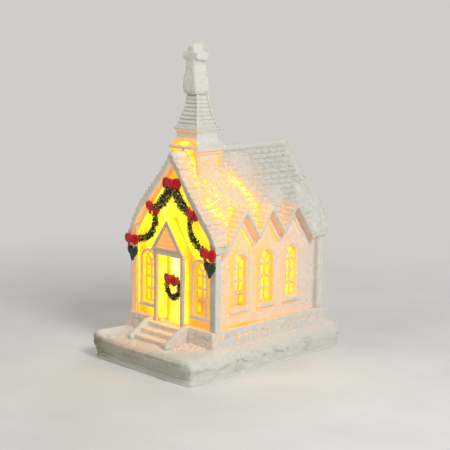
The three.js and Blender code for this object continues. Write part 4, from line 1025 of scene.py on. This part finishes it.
def crumbs():
    # lumps of snow heaped in the corner right of the steps: small balls of 48 faces, each dented by noise
    rng = np.random.default_rng(23)
    count = rock["crumbs"]
    far = rng.beta(1.1, 1.7, count)
    cx = 12.2 + far * 9.5 + rng.uniform(-0.5, 0.5, count)
    cy = foundationLow[1] - 0.4 - rng.beta(1.0, 1.6, count) * (9.5 - 6.0 * far)
    size = rng.uniform(0.4, 0.95, count)
    heap = 1.5 * decay(foundationLow[1] - cy, 2.2) * (1 - 0.5 * far)
    cz = plinthHigh[2] + rng.uniform(0, 1, count) * heap + 0.1 - 0.2 * ramp(-cy, 40, 43)
    lat = np.linspace(0.25, math.pi - 0.25, 6)[:, None]
    lon = np.linspace(0, 2 * math.pi, 8, endpoint=False)[None, :]
    ball = np.stack([np.sin(lat) * np.cos(lon), np.sin(lat) * np.sin(lon), np.cos(lat) * (1 + 0 * lon)], -1)
    middle = np.stack([cx, cy, cz], -1)[:, None, None]
    points = middle + ball[None] * size[:, None, None, None] * (1, 1, 0.85)
    points = points + 0.22 * noise(points, 0.7, 5)[..., None] * ball[None]
    # each ball's ends are closed by folding its first and last rings to a point
    points[:, 0] = points[:, 0].mean(1, keepdims=True)
    points[:, -1] = points[:, -1].mean(1, keepdims=True)
    one = gridQuads(6, 8, wrapCols=True)[:, ::-1]
    quads = (one[None] + (np.arange(count) * 48)[:, None, None]).reshape(-1, 4)
    lit = 0.06 + 0.2 * np.exp(-(cz - plinthHigh[2]) / 0.8)
    mark = (lit[:, None, None] * (1.1 - 0.5 * ball[None, ..., 2])).reshape(-1)
    return points.reshape(-1, 3), quads, mark


castPiece("plinth_cast", ["plinth"], rock["voxel"], plinthShape, snowResin, bent=plinthBent,
          extra=crumbs())
print("plinth made")

# foundation: round cobbles in rough rows

cobbles = {"voxel": 0.27, "size": 3.7, "dome": 0.42, "joint": 0.42}    # the last two: how far out and in


def foundationShape(p, n):
    # the nearest jittered point on the wall gives each stone; its dome falls away to the joint beside it,
    # and snow fills the joints towards the ground and the rear
    x, y, z = p.T
    onSide = np.abs(n[:, 0]) > np.abs(n[:, 1])
    along = np.where(onSide, y, x + 100)
    first, second, own = cells(along, (z + 40.6) * 1.15, cobbles["size"], 17, 0.5)
    gap = second - first
    beyond = np.maximum(np.abs(x) - 23, np.abs(y - 4.65) - 31)
    outside = ramp(1 - np.abs(n[:, 2]), 0.2, 0.6) * ramp(beyond, 0, 0.6)
    inStones = outside * (1 - ramp(z, foundationHigh[2] - 1.3, foundationHigh[2] - 0.6))
    snowed = ramp(foundationLow[2] + 2.6 + 1.0 * noise(p, 4, 6) - z, 0, 1.6) * 0.8
    snowed = np.maximum(snowed, 0.72 * (y < -26) * (~onSide) * ramp(noise(p, 3, 14), -0.5, 0.1))
    bare = inStones * (1 - snowed) * ramp(noise(p, 5, 12), -0.95, -0.3)
    dome = cobbles["dome"] * (1 - np.clip(first / (cobbles["size"] * 0.62), 0, 1) ** 2) * (0.6 + 0.5 * own)
    joint = 1 - ramp(gap, 0.1, 0.85)
    lift = bare * (dome - cobbles["joint"] * joint) + 0.25 * snowed * inStones
    lift = lift + 0.07 * rough(p, 1.4, 3) * outside
    fade = decay(y + 24, 34.0)
    top = ramp(n[:, 2], 0.3, 0.8) * ramp(z, foundationHigh[2] - 1.6, foundationHigh[2] - 0.3)
    mark = bare * joint * (0.16 + 0.4 * fade) * onSide + 0.5 * top * fade
    front = (y < -26) & ~onSide
    frontLight = 0.04 + 0.08 * rough(p, 2.6, 9) + 0.07 * ramp(foundationLow[2] + 3 - z, -1, 2)
    mark = mark * (1 - 0.3 * front) + np.where(front, frontLight, 0) * outside
    # painted shade on the front face, and the joints between bare stones a little darker
    return lift, mark, bare * joint * 0.14 + 0.16 * front, 0.12 * snowed * fade


castPiece("foundation_cast", ["foundation"], cobbles["voxel"], foundationShape, stoneResin)
print("foundation made")

# door, steps, posts and porch


def doorShape(p, n):
    # the panels are not sunk: the face gets faint noise, two thin lines of less light mark the lower panels,
    # and the light is strongest high in the middle
    x, y, z = p.T
    low = boxOf("front_door")[0]
    front = ramp(-n[:, 1], 0.5, 0.9) * (y < low[1] + 0.7)
    lift = 0.04 * noise(p, 2, 5) * front
    glare = bell(x - 0.6, 1.5) * (0.35 + 0.65 * ramp(z, 31, 38))
    flare = np.exp(-((x - 0.4) / 2.4) ** 2 - ((z - 40) / 4.0) ** 2)
    lines = bell(np.abs(x - 1.6) - 1.5, 0.22) * ramp(27 - z, 0, 2) * ramp(z, 18, 19)
    mark = (1.1 + 0.14 * glare + 0.4 * flare - 0.36 * ramp(-x, 3.0, 5.4) - 0.06 * ramp(20 - z, 0, 4)
            - 0.1 * lines)
    return lift, np.where(front > 0.2, mark, mark - 0.05), 0 * x


def stepsShape(p, n):
    # treads worn in the middle; warm light lies on the treads and in the corner under each nosing
    x, y, z = p.T
    inside = 1 - ramp(np.abs(x), 7.6, 8.2)
    low = boxOf("entrance_steps")[0]
    lift = 0.08 * rough(p, 2.6, 5) - 0.10 * inside * ramp(n[:, 2], 0.5, 0.9) * bell(x, 4)
    lift = np.where(z < low[2] + 0.2, 0, lift)
    tread = ramp(n[:, 2], 0.72, 0.96)
    near = decay(-y - 28, 7.0)
    mark = inside * (0.12 + tread * (0.06 + 0.26 * near)) + (1 - inside) * (0.05 + 0.08 * tread) * near
    # a little painted shade on the risers
    return lift, mark * (1 + 0.3 * rough(p, 2.4, 15)), 0.06 * (1 - tread) * ramp(-n[:, 1], 0.3, 0.8)


def postShape(p, n):
    # the face towards the door is lit, and the whole post is darkened evenly by painted shade
    lift = 0.05 * rough(p, 2.0, 5)
    inner = ramp(-np.sign(p[:, 0]) * n[:, 0], 0.3, 0.8)
    return lift, 0.08 + 0.3 * inner + 0.05 * noise(p, 3, 8), 0.4 + 0 * lift


def porchShape(p, n):
    # five boards across the gable, each standing out towards its lower edge
    x, y, z = p.T
    low, high = boxOf("porch_gable")
    rise = high[2] - 44.9
    toSlope = (high[2] - z - np.abs(x) * rise / high[0]) * high[0] / math.hypot(rise, high[0])
    inside = ramp(toSlope, 1.35, 1.6) * ramp(z, 46.2, 46.5) * ramp(-n[:, 1], 0.5, 0.9) * (y < low[1] + 1.4)
    board = ((high[2] - z) / 2.05) % 1
    lift = inside * 0.5 * (board - 0.5) + 0.05 * rough(p, 2.0, 5)
    edge = (1 - ramp(np.abs(board - 0.98), 0.03, 0.16)) * inside
    slope = ramp(np.abs(n[:, 0]), 0.3, 0.6) * (1 - inside)
    mark = 0.08 + 0.48 * inside - 0.2 * edge + 0.25 * inside * np.exp(-(toSlope - 1.5) ** 2 / 0.2) * (x < 0)
    mark = np.where((slope > 0.3) & (y > low[1] + 0.5), 0.98 - 0.24 * ramp(51 - z, 0, 7), mark)
    # painted shade in the lines between the boards, and on the front faces outside the boards
    return lift, mark, 0.5 * (1 - inside) * (y < low[1] + 0.6) + 0.55 * edge


castPiece("door_cast", ["front_door"], 0.17, doorShape, doorResin)
castPiece("steps_cast", ["entrance_steps"], 0.2, stepsShape, stoneResin)
castPiece("post_left_cast", ["porch_post_left"], 0.15, postShape, wallResin, smoothing=1)
castPiece("post_right_cast", ["porch_post_right"], 0.15, postShape, wallResin, smoothing=1)
castPiece("porch_cast", ["porch_gable"], 0.17, porchShape, wallResin, smoothing=1)
print("entrance made")

# tower, spire and cross

tower = {
    "centreY": -13.4,
    "boards": 8,             # on each face of the spire
    "foot": 93.1,            # where the boards begin and end, in height
    "top": 105.4,
    "corner": 0.85,          # width of the border down each corner
    "proud": 0.22,           # and how far it stands out
}


def towerBent(p):
    # the foot reaches down into the roof, because the slope lies lower in front of it
    p = p.copy()
    gap = p[:, 2] - roofHeight(p[:, 0])
    foot = (1 - ramp(gap, 1.1, 2.8)) * ramp(np.abs(p[:, 0]), 1.5, 4.0) * (1 - ramp(p[:, 2], 82, 84.6))
    p[:, 2] -= 3.9 * foot
    return p


def towerShape(p, n):
    x, y, z = p.T
    front = ramp(-n[:, 1], 0.4, 0.9)
    side = ramp(n[:, 0], 0.4, 0.9)
    sunk = ramp(7.4 - np.abs(x), 1.0, 1.3) * front
    sunk = sunk + ramp(6.7 - np.abs(y - tower["centreY"]), 1.2, 1.5) * side
    lift = 0.06 * rough(p, 2.2, 5) + 0.05 * noise(p, 1.0, 9) - 0.2 * sunk * side * ramp(84 - z, -0.2, 0.6)
    body = ramp(84.6 - z, -0.6, 0.6)
    gap = z - roofHeight(x) + np.maximum(1.4 * (1 - ramp(np.abs(x) / 25, 0.25, 0.75)),
                                         droop(x, -21.0 + 0 * x))
    hot = 0.3 * bell(gap - 1.0, 1.1) * ramp(x, -1, 1)
    lit = front * body * (1.0 - 0.45 * ramp(x, 5.6, 7.2) - 0.3 * ramp(x, 2, 6) * ramp(z, 79, 84)
                          - 0.35 * ramp(-x, 4, 7.5) + hot)
    lit = lit + side * body * (0.2 + 0.2 * ramp(82 - z, 0, 8))
    under = ramp(z, 83.2, 84.2) * (1 - ramp(z, 84.4, 85.2)) * (0.3 * front + 0.12)
    dashes = side * body * bell(np.abs(y - tower["centreY"]) - 5.3, 0.3) * 0.3
    mark = np.where(z > 85.4, 0.03 + 0.36 * front, lit + under + dashes)
    # painted shade on the right faces around their sunk panels
    return lift, mark, 0.22 * (1 - sunk) * body * side, 0.75 * side * body * ramp(85 - z, 0, 5)


def spireShape(p, n):
    # a saw edge for each board, thicker at its foot, between a raised border down every corner
    x, y, z = p.T
    fromCorner = np.abs(np.abs(x) - np.abs(y - tower["centreY"]) * 6.8 / 6.26)
    rising = ramp(z, tower["foot"] - 0.2, tower["foot"] + 0.3)
    border = (1 - ramp(fromCorner, tower["corner"] - 0.15, tower["corner"] + 0.1)) * rising
    board = ((z - tower["foot"]) / (tower["top"] - tower["foot"]) * tower["boards"]) % 1
    lift = rising * (1 - border) * (0.13 * (0.5 - board)) + tower["proud"] * border * 0.7
    lift = lift + 0.05 * rough(p, 1.6, 5) + 0.3 * bell(z - 92.5, 0.5)
    front = ramp(-n[:, 1], 0.3, 0.8)
    side = ramp(n[:, 0], 0.3, 0.8)
    foot = 1 - ramp(z, 86.3, 91.6)
    streak = ramp(rough(p * (1, 1, 2.0), 3.0, 41), -0.1, 0.6)
    spot = np.exp(-((x + 0.5) / 2.6) ** 2 - ((z - 87.0) / 1.0) ** 2)
    lower = 1 - ramp(z, 86.6, 89.4)
    mark = 0.08 * front * ramp(92.4 - z, 0, 0.4)
    mark = mark + foot * front * (0.36 + 0.26 * lower + 0.2 * streak * lower)
    mark = mark + 0.6 * spot * front + side * 0.42 * streak * (1 - ramp(z, 86.3, 87.8))
    mark = mark + 0.26 * front * ramp(z, 90.6, 91.6) * (1 - ramp(z, 92.0, 92.5))
    # painted shade under each board's saw edge, beside each corner border, more on the right faces towards
    # the rear, and in a line just above the raised band at the foot
    spireShade = rising * (1 - border) * (0.08 + ramp(board, 0.6, 0.9) * (0.17 - 0.1 * front))
    rim = rising * ramp(fromCorner, 0.7, 0.9) * (1 - ramp(fromCorner, 0.95, 1.25))
    spireShade = spireShade + rim * (0.14 + 0.5 * side * ramp(y - tower["centreY"], 0.5, 1.5))
    spireShade = spireShade + 0.3 * bell(z - 92.95, 0.22)
    return lift, np.where(z > 92.6, 0.0, mark), spireShade


def crossBent(p):
    # the arms sit a millimetre higher than in the plain solid, and the foot is fuller
    p = p.copy()
    z = p[:, 2].copy()
    full = 0.13 * ramp(z, 105.4, 107.5) * (1 - ramp(z, 110.5, 115.5))
    centre = np.array([-0.5, -13.9])
    p[:, :2] += (p[:, :2] - centre) * full[:, None]
    p[:, 2] = z + 1.0 * ramp(z, 112.5, 116.2) * (1 - ramp(z, 120.8, 125))
    return p


def crossShape(p, n):
    # thick paint over a worn casting: low lumps, and dents where the mould trapped air
    x, y, z = p.T
    lift = (0.26 - 0.18 * ramp(-n[:, 1], 0.3, 0.8)) * rough(p, 3.2, 5) + 0.06 * rough(p, 1.0, 9)
    dents = cells(x * 1.3 + y, z, 1.9, 5, 0.9)
    lift = lift - 0.25 * (1 - ramp(dents[0], 0.1, 0.4)) * (dents[2] > 0.9)
    # painted shade in the dents, and in a line under the arms on the faces turned right
    under = bell(z - 117.4, 0.5) * 0.25
    crease = 0.5 * (1 - ramp(dents[0], 0.1, 0.35)) * (dents[2] > 0.9)
    return lift, 0 * x, crease + under * ramp(n[:, 0], 0.2, 0.6)


castPiece("tower_cast", ["bell_tower"], 0.2, towerShape, wallResin, smoothing=1, bent=towerBent)
castPiece("spire_cast", ["spire"], 0.15, spireShape, snowResin, smoothing=2)
castPiece("cross_cast", ["spire_cross"], 0.16, crossShape, snowResin, smoothing=14, bent=crossBent)
print("tower and spire made")

# garlands, wreath and hanging leaves: many small blades over a core

greens = {"blade": 1.5, "width": 0.42, "perMillimetre": 3.4}


def unit(vectors):
    return vectors / np.maximum(np.linalg.norm(vectors, axis=1, keepdims=True), 1e-9)


def joined(parts):
    # several skins, each of points, quads and triangles, as one
    points, quads, fans, start = [], [], [], 0
    for p, q, f in parts:
        points.append(p)
        quads.append(q + start)
        fans.append(f + start)
        start += len(p)
    return np.vstack(points), np.vstack(quads), np.vstack(fans)


def leafBlades(path, outward, radius, count, seed, length, width):
    # each blade is a bent diamond of ten faces, rooted near the core's line and thrown out to a random side
    rng = np.random.default_rng(seed)
    path = np.asarray(path, float)
    steps = np.linalg.norm(np.diff(path, axis=0), axis=1)
    far = np.concatenate([[0], np.cumsum(steps)])
    at = rng.uniform(0, far[-1], count)
    root = np.stack([np.interp(at, far, path[:, k]) for k in range(3)], 1)
    ahead = np.stack([np.interp(np.minimum(at + 0.3, far[-1]), far, path[:, k]) for k in range(3)], 1)
    behind = np.stack([np.interp(np.maximum(at - 0.3, 0), far, path[:, k]) for k in range(3)], 1)
    along = unit(ahead - behind)
    out = np.tile(np.array(outward, float), (count, 1))
    sideways = np.cross(along, out)
    angle = rng.uniform(-1.75, 1.75, count)
    lean = rng.uniform(-0.3, 1.0, count)
    radial = np.cos(angle)[:, None] * out + np.sin(angle)[:, None] * sideways
    aim = unit(radial + along * lean[:, None])
    size = length * rng.uniform(0.7, 1.2, count)
    wide = unit(np.cross(aim, radial + 0.4 * along))
    thick = np.cross(wide, aim)
    start = root + radial * (radius * 0.45)
    half = (width * rng.uniform(0.8, 1.2, count))[:, None]
    middle = start + aim * size[:, None] * 0.5
    end = start + aim * size[:, None] - thick * size[:, None] * 0.12
    rootHalf = wide * half * 0.3
    block = np.stack([start + rootHalf, start - rootHalf, middle + wide * half, middle - wide * half,
                      middle + thick * 0.16, middle - thick * 0.10, end], 1)
    faces = np.array([[0, 2, 4], [0, 4, 1], [1, 4, 3], [4, 2, 6], [4, 6, 3], [0, 5, 2], [0, 1, 5], [1, 3, 5],
                      [5, 6, 2], [5, 3, 6]])
    triangles = (faces[None] + (np.arange(count) * 7)[:, None, None]).reshape(-1, 3)
    return block.reshape(-1, 3), triangles


def capped(rings, first=None, last=None):
    # rows of rings joined into a skin, with a fan to one point at either end
    rows, cols = rings.shape[:2]
    around = np.arange(cols)
    following = (around + 1) % cols
    tips = [rings[0].mean(0) if first is None else first, rings[-1].mean(0) if last is None else last]
    end = (rows - 1) * cols
    fan = np.vstack([np.stack([following, around, np.full(cols, rows * cols)], -1),
                     np.stack([end + around, end + following, np.full(cols, rows * cols + 1)], -1)])
    return np.vstack([rings.reshape(-1, 3), tips]), gridQuads(rows, cols, wrapCols=True), fan


def tube(path, radius, sides=10, closed=False, seed=0):
    # a lumpy tube along a path of points; its ends close to a point
    path = np.asarray(path, float)
    count = len(path)
    along = unit(np.roll(path, -1, 0) - np.roll(path, 1, 0) if closed else np.gradient(path, axis=0))
    first = unit(np.cross(along, np.array([0, 1.0, 0.02])))
    second = np.cross(along, first)
    turn = np.linspace(0, 2 * math.pi, sides, endpoint=False)
    taper = 1 - (2 * np.linspace(0, 1, count) - 1) ** 8
    ends = np.ones(count) if closed else np.sqrt(np.clip(taper, 0.0004, 1))
    ring = (path[:, None] + radius * ends[:, None, None] * (np.cos(turn)[None, :, None] * first[:, None]
                                                           + np.sin(turn)[None, :, None] * second[:, None]))
    ring = (ring + 0.12 * radius * noise(ring, radius * 1.6, seed)[..., None]
            * (ring - path[:, None]) / radius)
    if closed:
        quads = gridQuads(count, sides, wrapRows=True, wrapCols=True)
        return ring.reshape(-1, 3), quads, np.zeros((0, 3), int)
    return capped(ring, path[0], path[-1])


def greenPiece(name, node, path, radius, closed=False, seed=1):
    # radius may run from its first value at the start of the path to its second at the end
    first, last = (radius, radius) if np.isscalar(radius) else radius
    core, quads, fan = tube(path, (first + last) / 2 * 0.8, 10, closed, seed)
    steps = np.linalg.norm(np.diff(path, axis=0), axis=1).sum()
    blocks, count = [], int(steps * greens["perMillimetre"] * 2)
    for share, thick in ((0, first), (1, last)):
        half = path if closed else path[int(share * 0.45 * len(path)):int((0.55 + 0.45 * share) * len(path))]
        size = greens["blade"] * (0.75 + 0.3 * thick)
        blocks.append(leafBlades(half, (0, -1, 0), thick, count, seed + 40 * share, size, greens["width"]))
    points, triangles = [core], [fan]
    for blades, faces in blocks:
        triangles.append(faces + sum(len(p) for p in points))
        points.append(blades)
    return makePiece(name, np.vstack(points), quads, garlandPaint, node,
                     triangles=np.vstack(triangles))


def curveThrough(points, count):
    # a smooth curve through the given points: cubic pieces whose slopes are half the neighbours' difference
    p = np.asarray(points, float)
    p = np.vstack([2 * p[0] - p[1], p, 2 * p[-1] - p[-2]])
    t = np.linspace(0, len(p) - 3 - 1e-6, count)
    i = t.astype(int)
    f = (t - i)[:, None]
    a, b, c, d = p[i], p[i + 1], p[i + 2], p[i + 3]
    return 0.5 * (2 * b + (c - a) * f + (2 * a - 5 * b + 4 * c - d) * f ** 2
                  + (3 * b - a - 3 * c + d) * f ** 3)


swags = {
    "upper": [(0.9, 70.9), (2.6, 67.6), (5.4, 64.1), (8.0, 62.2), (9.8, 62.0)],
    "lower": [(11.0, 60.2), (9.8, 57.0), (10.3, 54.0), (12.4, 50.8), (15.8, 48.5), (20.0, 47.4)],
    "upperRadius": (2.0, 1.15),
    "lowerRadius": (0.85, 0.9),
    "depth": -26.0,
}
wreath = {"radius": 3.75, "tube": 0.75, "centre": (0, -25.4, 30.6)}
for word, side in sides:
    for place, seed in (("upper", 3), ("lower", 5)):
        places = [(side * x, swags["depth"] - 0.5 * ramp(x, 14, 20), z) for x, z in swags[place]]
        route = curveThrough(places, 60)
        greenPiece(f"swag_{place}_{word}", f"garland_{place}_{word}", route, swags[place + "Radius"],
                   seed=seed + side)
turn = np.linspace(0, 2 * math.pi, 72, endpoint=False)
ringPath = (np.stack([wreath["radius"] * np.cos(turn), 0 * turn, wreath["radius"] * np.sin(turn)], -1)
            + wreath["centre"])
greenPiece("wreath_leaves", "door_wreath", ringPath, wreath["tube"], closed=True, seed=11)


def bigLeaves(name, node, spots):
    # holly leaves: a pointed oval with a raised midrib and a wavy edge, closed behind
    leaves = []
    for x, y, z, length, width, tilt, yaw in spots:
        u = np.linspace(0.02, 0.98, 22)[:, None]
        v = np.linspace(-1, 1, 13)[None, :]
        outline = np.sin(np.pi * u ** 0.85) ** 0.8 * (1 + 0.12 * np.cos(u * 22))
        a = v * outline * width / 2
        b = (u - 0.5) * length + 0 * v
        c = 0.55 * (1 - np.abs(v)) * outline + 0.35 * (1 - v ** 2) - 0.06 * np.cos(u * 22) * np.abs(v)
        local = np.stack([a, -c, -b], -1)
        turnA, turnB = math.cos(tilt), math.sin(tilt)
        rotated = np.stack([local[..., 0] * turnA - local[..., 2] * turnB,
                            local[..., 1] + yaw * local[..., 0],
                            local[..., 0] * turnB + local[..., 2] * turnA], -1) + (x, y, z)
        leaves.append(backed(rotated, (0, 0.35, 0)))
    points, quads, fans = joined(leaves)
    return makePiece(name, points, quads, leafPaint, node, triangles=fans)


for word, side in sides:
    edge = side * 22.2
    bigLeaves(f"leaves_{word}_cast", f"leaves_{word}",
              [(edge - 1.5, -27.5, 42.3, 5.2, 2.9, 0.42, 0.15),
               (edge + 1.4, -27.6, 42.1, 5.2, 2.9, -0.36, -0.15),
               (edge + 0.1 * side, -27.9, 40.9, 5.4, 2.7, 0.06, 0.0)])
print("greenery made")

# bows: ribbon loops, tails and a knot

bows = {"tailThickness": 0.512, "knot": 0.17}    # the knot as a share of the bow's width


def ribbonStrip(path, width, across, thickness):
    # a flat strip with a closed section swept along a path; across gives its width direction at every point
    path = np.asarray(path, float)
    across = unit(across)
    normal = unit(np.cross(unit(np.gradient(path, axis=0)), across))
    turn = np.linspace(0, 2 * math.pi, 16, endpoint=False)
    a = np.sign(np.cos(turn)) * np.abs(np.cos(turn)) ** 0.5
    b = np.sin(turn)
    width = np.asarray(width)[:, None, None]
    crease = 0.12 * np.cos(3 * math.pi * a)[None, :, None] * normal[:, None]
    ring = (path[:, None] + a[None, :, None] * across[:, None] * width / 2
            + b[None, :, None] * normal[:, None] * thickness / 2)
    ring = ring + crease * np.minimum(width, 2) / 2
    return capped(ring)


def puffedLoop(side, width, height, rng):
    # a closed pouch: a runs from the knot to the outer end, and round it goes an oval that widens outwards,
    # pleated near the knot and dented in front where the ribbon folds in
    theta = np.linspace(0.06, math.pi - 0.06, 26)[:, None]
    phi = np.linspace(0, 2 * math.pi, 30, endpoint=False)[None, :]
    a = 0.5 - 0.5 * np.cos(theta)
    pleats = (1 + 0.13 * np.cos(5 * phi + rng.uniform(0, 6)) * (1 - a)
              + 0.05 * np.cos(3 * phi + rng.uniform(0, 6)))
    girth = np.sin(theta) ** 0.6 * (0.6 + 0.4 * a) * pleats
    up = girth * np.cos(phi) * height * 0.36
    out = girth * np.sin(phi)
    dent = 0.75 * np.exp(-((a - 0.66) / 0.2) ** 2 - (up / (height * 0.16)) ** 2) * (out > 0)
    depth = -0.45 - 1.05 * out + dent
    rise = height * (0.02 + 0.10 * rng.uniform(-1, 1))
    x = side * (-0.05 + (0.57 + 0.03 * rng.uniform(-1, 1)) * a) * width
    return capped(np.stack([x + 0 * phi, depth, rise * a + up], -1))


def bowPiece(name, node, x, y, z, width, height, seed):
    # two puffed loops, two short tails cut aslant below, and a pinched knot over the middle
    rng = np.random.default_rng(seed)
    parts = []
    t = np.linspace(0, 1, 30)[:, None]
    for side in (-1, 1):
        parts.append(puffedLoop(side, width, height, rng))
        drop = height * (0.42 + 0.08 * rng.uniform(-1, 1))
        tail = np.hstack([side * (0.1 + width * 0.26 * t ** 0.9), -0.4 - 0.5 * np.sin(math.pi * t * 1.2),
                          -drop * t])
        spreadOut = np.hstack([np.full_like(t, 1.0), -0.25 * side * np.cos(4 * t),
                               0.5 * side * np.full_like(t, 1.0)])
        broad = height * 0.34 * (0.5 + 0.5 * t[:, 0])
        parts.append(ribbonStrip(tail, broad, spreadOut, bows["tailThickness"]))
    lat = np.linspace(0.04, math.pi - 0.04, 14)[:, None]
    lon = np.linspace(0, 2 * math.pi, 22, endpoint=False)[None, :]
    pinch = 1 + 0.12 * np.cos(5 * lon)
    knot = np.stack([np.sin(lat) * np.cos(lon) * width * bows["knot"] * pinch,
                     -1.3 + np.sin(lat) * np.sin(lon) * 0.9,
                     np.cos(lat) * height * 0.27 * (1 + 0 * lon)], -1)
    parts.append(capped(knot))
    for i, (p, q, f) in enumerate(parts):
        step = -1 if pointsInward(p, q, f) else 1
        parts[i] = p + (x, y, z), q[:, ::step], f[:, ::step]
    points, quads, fans = joined(parts)
    return makePiece(name, points, quads, bowPaint, node, triangles=fans)


bowPiece("bow_top_cast", "bow_top", 0, -26.3, 72.0, 9.4, 7.4, 1)
for word, side in sides:
    bowPiece(f"bow_middle_{word}_cast", f"bow_middle_{word}", side * 11.2, -26.1, 61.4, 7.8, 6.2, 3 + side)
    bowPiece(f"bow_low_{word}_cast", f"bow_low_{word}", side * 22.0, -27.8, 47.6, 7.8, 6.4, 7 + side)
bowPiece("wreath_bow_cast", "wreath_bow", 0, -26.6, 34.3, 7.2, 5.2, 13)
print("bows made")

# finishes of the parts that stay as packed

finishes = {
    "white_resin": wallResin, "stone_resin": stoneResin, "amber_film": paneFilm, "green_paint": leafPaint,
    "red_paint": bowPaint, "white_plastic": whiteAbs, "led_epoxy": clearEpoxy, "plated_steel": nickelSteel,
    "cell_steel": cellSteel, "brass": rolledBrass, "black_plastic": blackAbs,
}
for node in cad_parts.values():
    for slot in node.material_slots:
        if slot.material and slot.material.name.split(".")[0] in finishes:
            slot.material = finishes[slot.material.name.split(".")[0]]

# camera, room and lights

view = {"lens": 89.776, "azimuth": 44.98, "elevation": 9.89, "roll": 0.678, "distance": 457.2,
        "target": (-1.06, 3.59, 52.0)}
room = {"reach": 2500, "floor": "#F4F3F1", "fibre": "#FBFBFA", "pale": "#CFCDC9", "ambient": "#7B7B7A",
        "near": 70, "far": 300}
lamps = [
    # name, where it stands (mm), width (mm), power, colour
    ("window_light", (350, -90, 320), 170, 1.03, "#FFFEF8"),
    ("high_side", (-60, -150, 260), 120, 0.11, "#FFFBF0"),
    ("rear_fill", (-170, 330, 250), 240, 0.34, "#F6F8FF"),
]
azimuth, elevation, roll = (math.radians(view[k]) for k in ("azimuth", "elevation", "roll"))
towards = np.array([math.sin(azimuth) * math.cos(elevation), -math.cos(azimuth) * math.cos(elevation),
                    math.sin(elevation)])
level = np.array([math.cos(azimuth), math.sin(azimuth), 0])
upright = np.cross(towards, level)
across = math.cos(roll) * level + math.sin(roll) * upright
up = math.cos(roll) * upright - math.sin(roll) * level
eye = (np.array(view["target"]) + towards * view["distance"]) * mm
cameraData = bpy.data.cameras.new("camera")
cameraData.lens = view["lens"]
cameraData.sensor_width = 36
cameraData.clip_start = 0.01
camera = placed("camera", cameraData)
matrix = Matrix.Identity(4)
for i in range(3):
    matrix[i][0], matrix[i][1], matrix[i][2], matrix[i][3] = across[i], up[i], towards[i], eye[i]
camera.matrix_world = matrix
bpy.context.scene.camera = camera


def seenDirectly(tree):
    # 1 for what the camera sees, also by way of a mirror or clear plastic, and 0 for light on the object
    path = add(tree, "LightPath").outputs
    some = maths(tree, "ADD", path["Is Camera Ray"], path["Is Glossy Ray"], clamp=True)
    return maths(tree, "ADD", some, path["Is Transmission Ray"], clamp=True)


def paperFloor(name):
    # a flat sheet, which further off gives way to the same plain tone as the background
    ticks = np.linspace(-room["reach"], room["reach"], 40)
    x, y = np.meshgrid(ticks, ticks)
    mesh = bpy.data.meshes.new(name)
    mesh.from_pydata((np.stack([x, y, 0 * x], -1).reshape(-1, 3) * mm).tolist(), [],
                     gridQuads(40, 40).tolist())
    floor = placed(name, mesh)
    material, tree, surface, place = newMaterial("matt_paper_floor")
    color = tones(tree, clouds(tree, place, 30, 3.0), [(0.3, room["floor"]), (0.7, room["fibre"])])
    away = add(tree, "VectorMath", {"operation": "LENGTH"}, _0=place).outputs["Value"]
    fade = add(tree, "MapRange", {"interpolation_type": "SMOOTHSTEP", "From Min": room["near"] * mm,
                                  "From Max": room["far"] * mm}, Value=away).outputs["Result"]
    share = maths(tree, "MULTIPLY", fade, seenDirectly(tree))
    dress(tree, surface, Base_Color=mixed(tree, share, color, "#000000"), Roughness=0.9,
          Specular_IOR_Level=0.0, Emission_Color=mixed(tree, share, "#000000", room["pale"]),
          Emission_Strength=1.0)
    mesh.materials.append(material)


paperFloor("floor")
for name, place, width, power, tone in lamps:
    data = bpy.data.lights.new(name, "AREA")
    data.shape = "DISK"
    data.size = width * mm
    data.energy = power
    data.color = linear(tone)[:3]
    lamp = placed(name, data)
    lamp.location = Vector(place) * mm
    lamp.rotation_euler = (Vector((0, 0, 50)) * mm - lamp.location).to_track_quat("-Z", "Y").to_euler()
world = bpy.data.worlds.new("studio")
world.use_nodes = True
air = mixed(world.node_tree, seenDirectly(world.node_tree), room["ambient"], room["pale"])
world.node_tree.links.new(air, world.node_tree.nodes["Background"].inputs["Color"])
bpy.context.scene.world = world
bpy.context.scene.view_settings.view_transform = "Standard"

print("room and lights made")
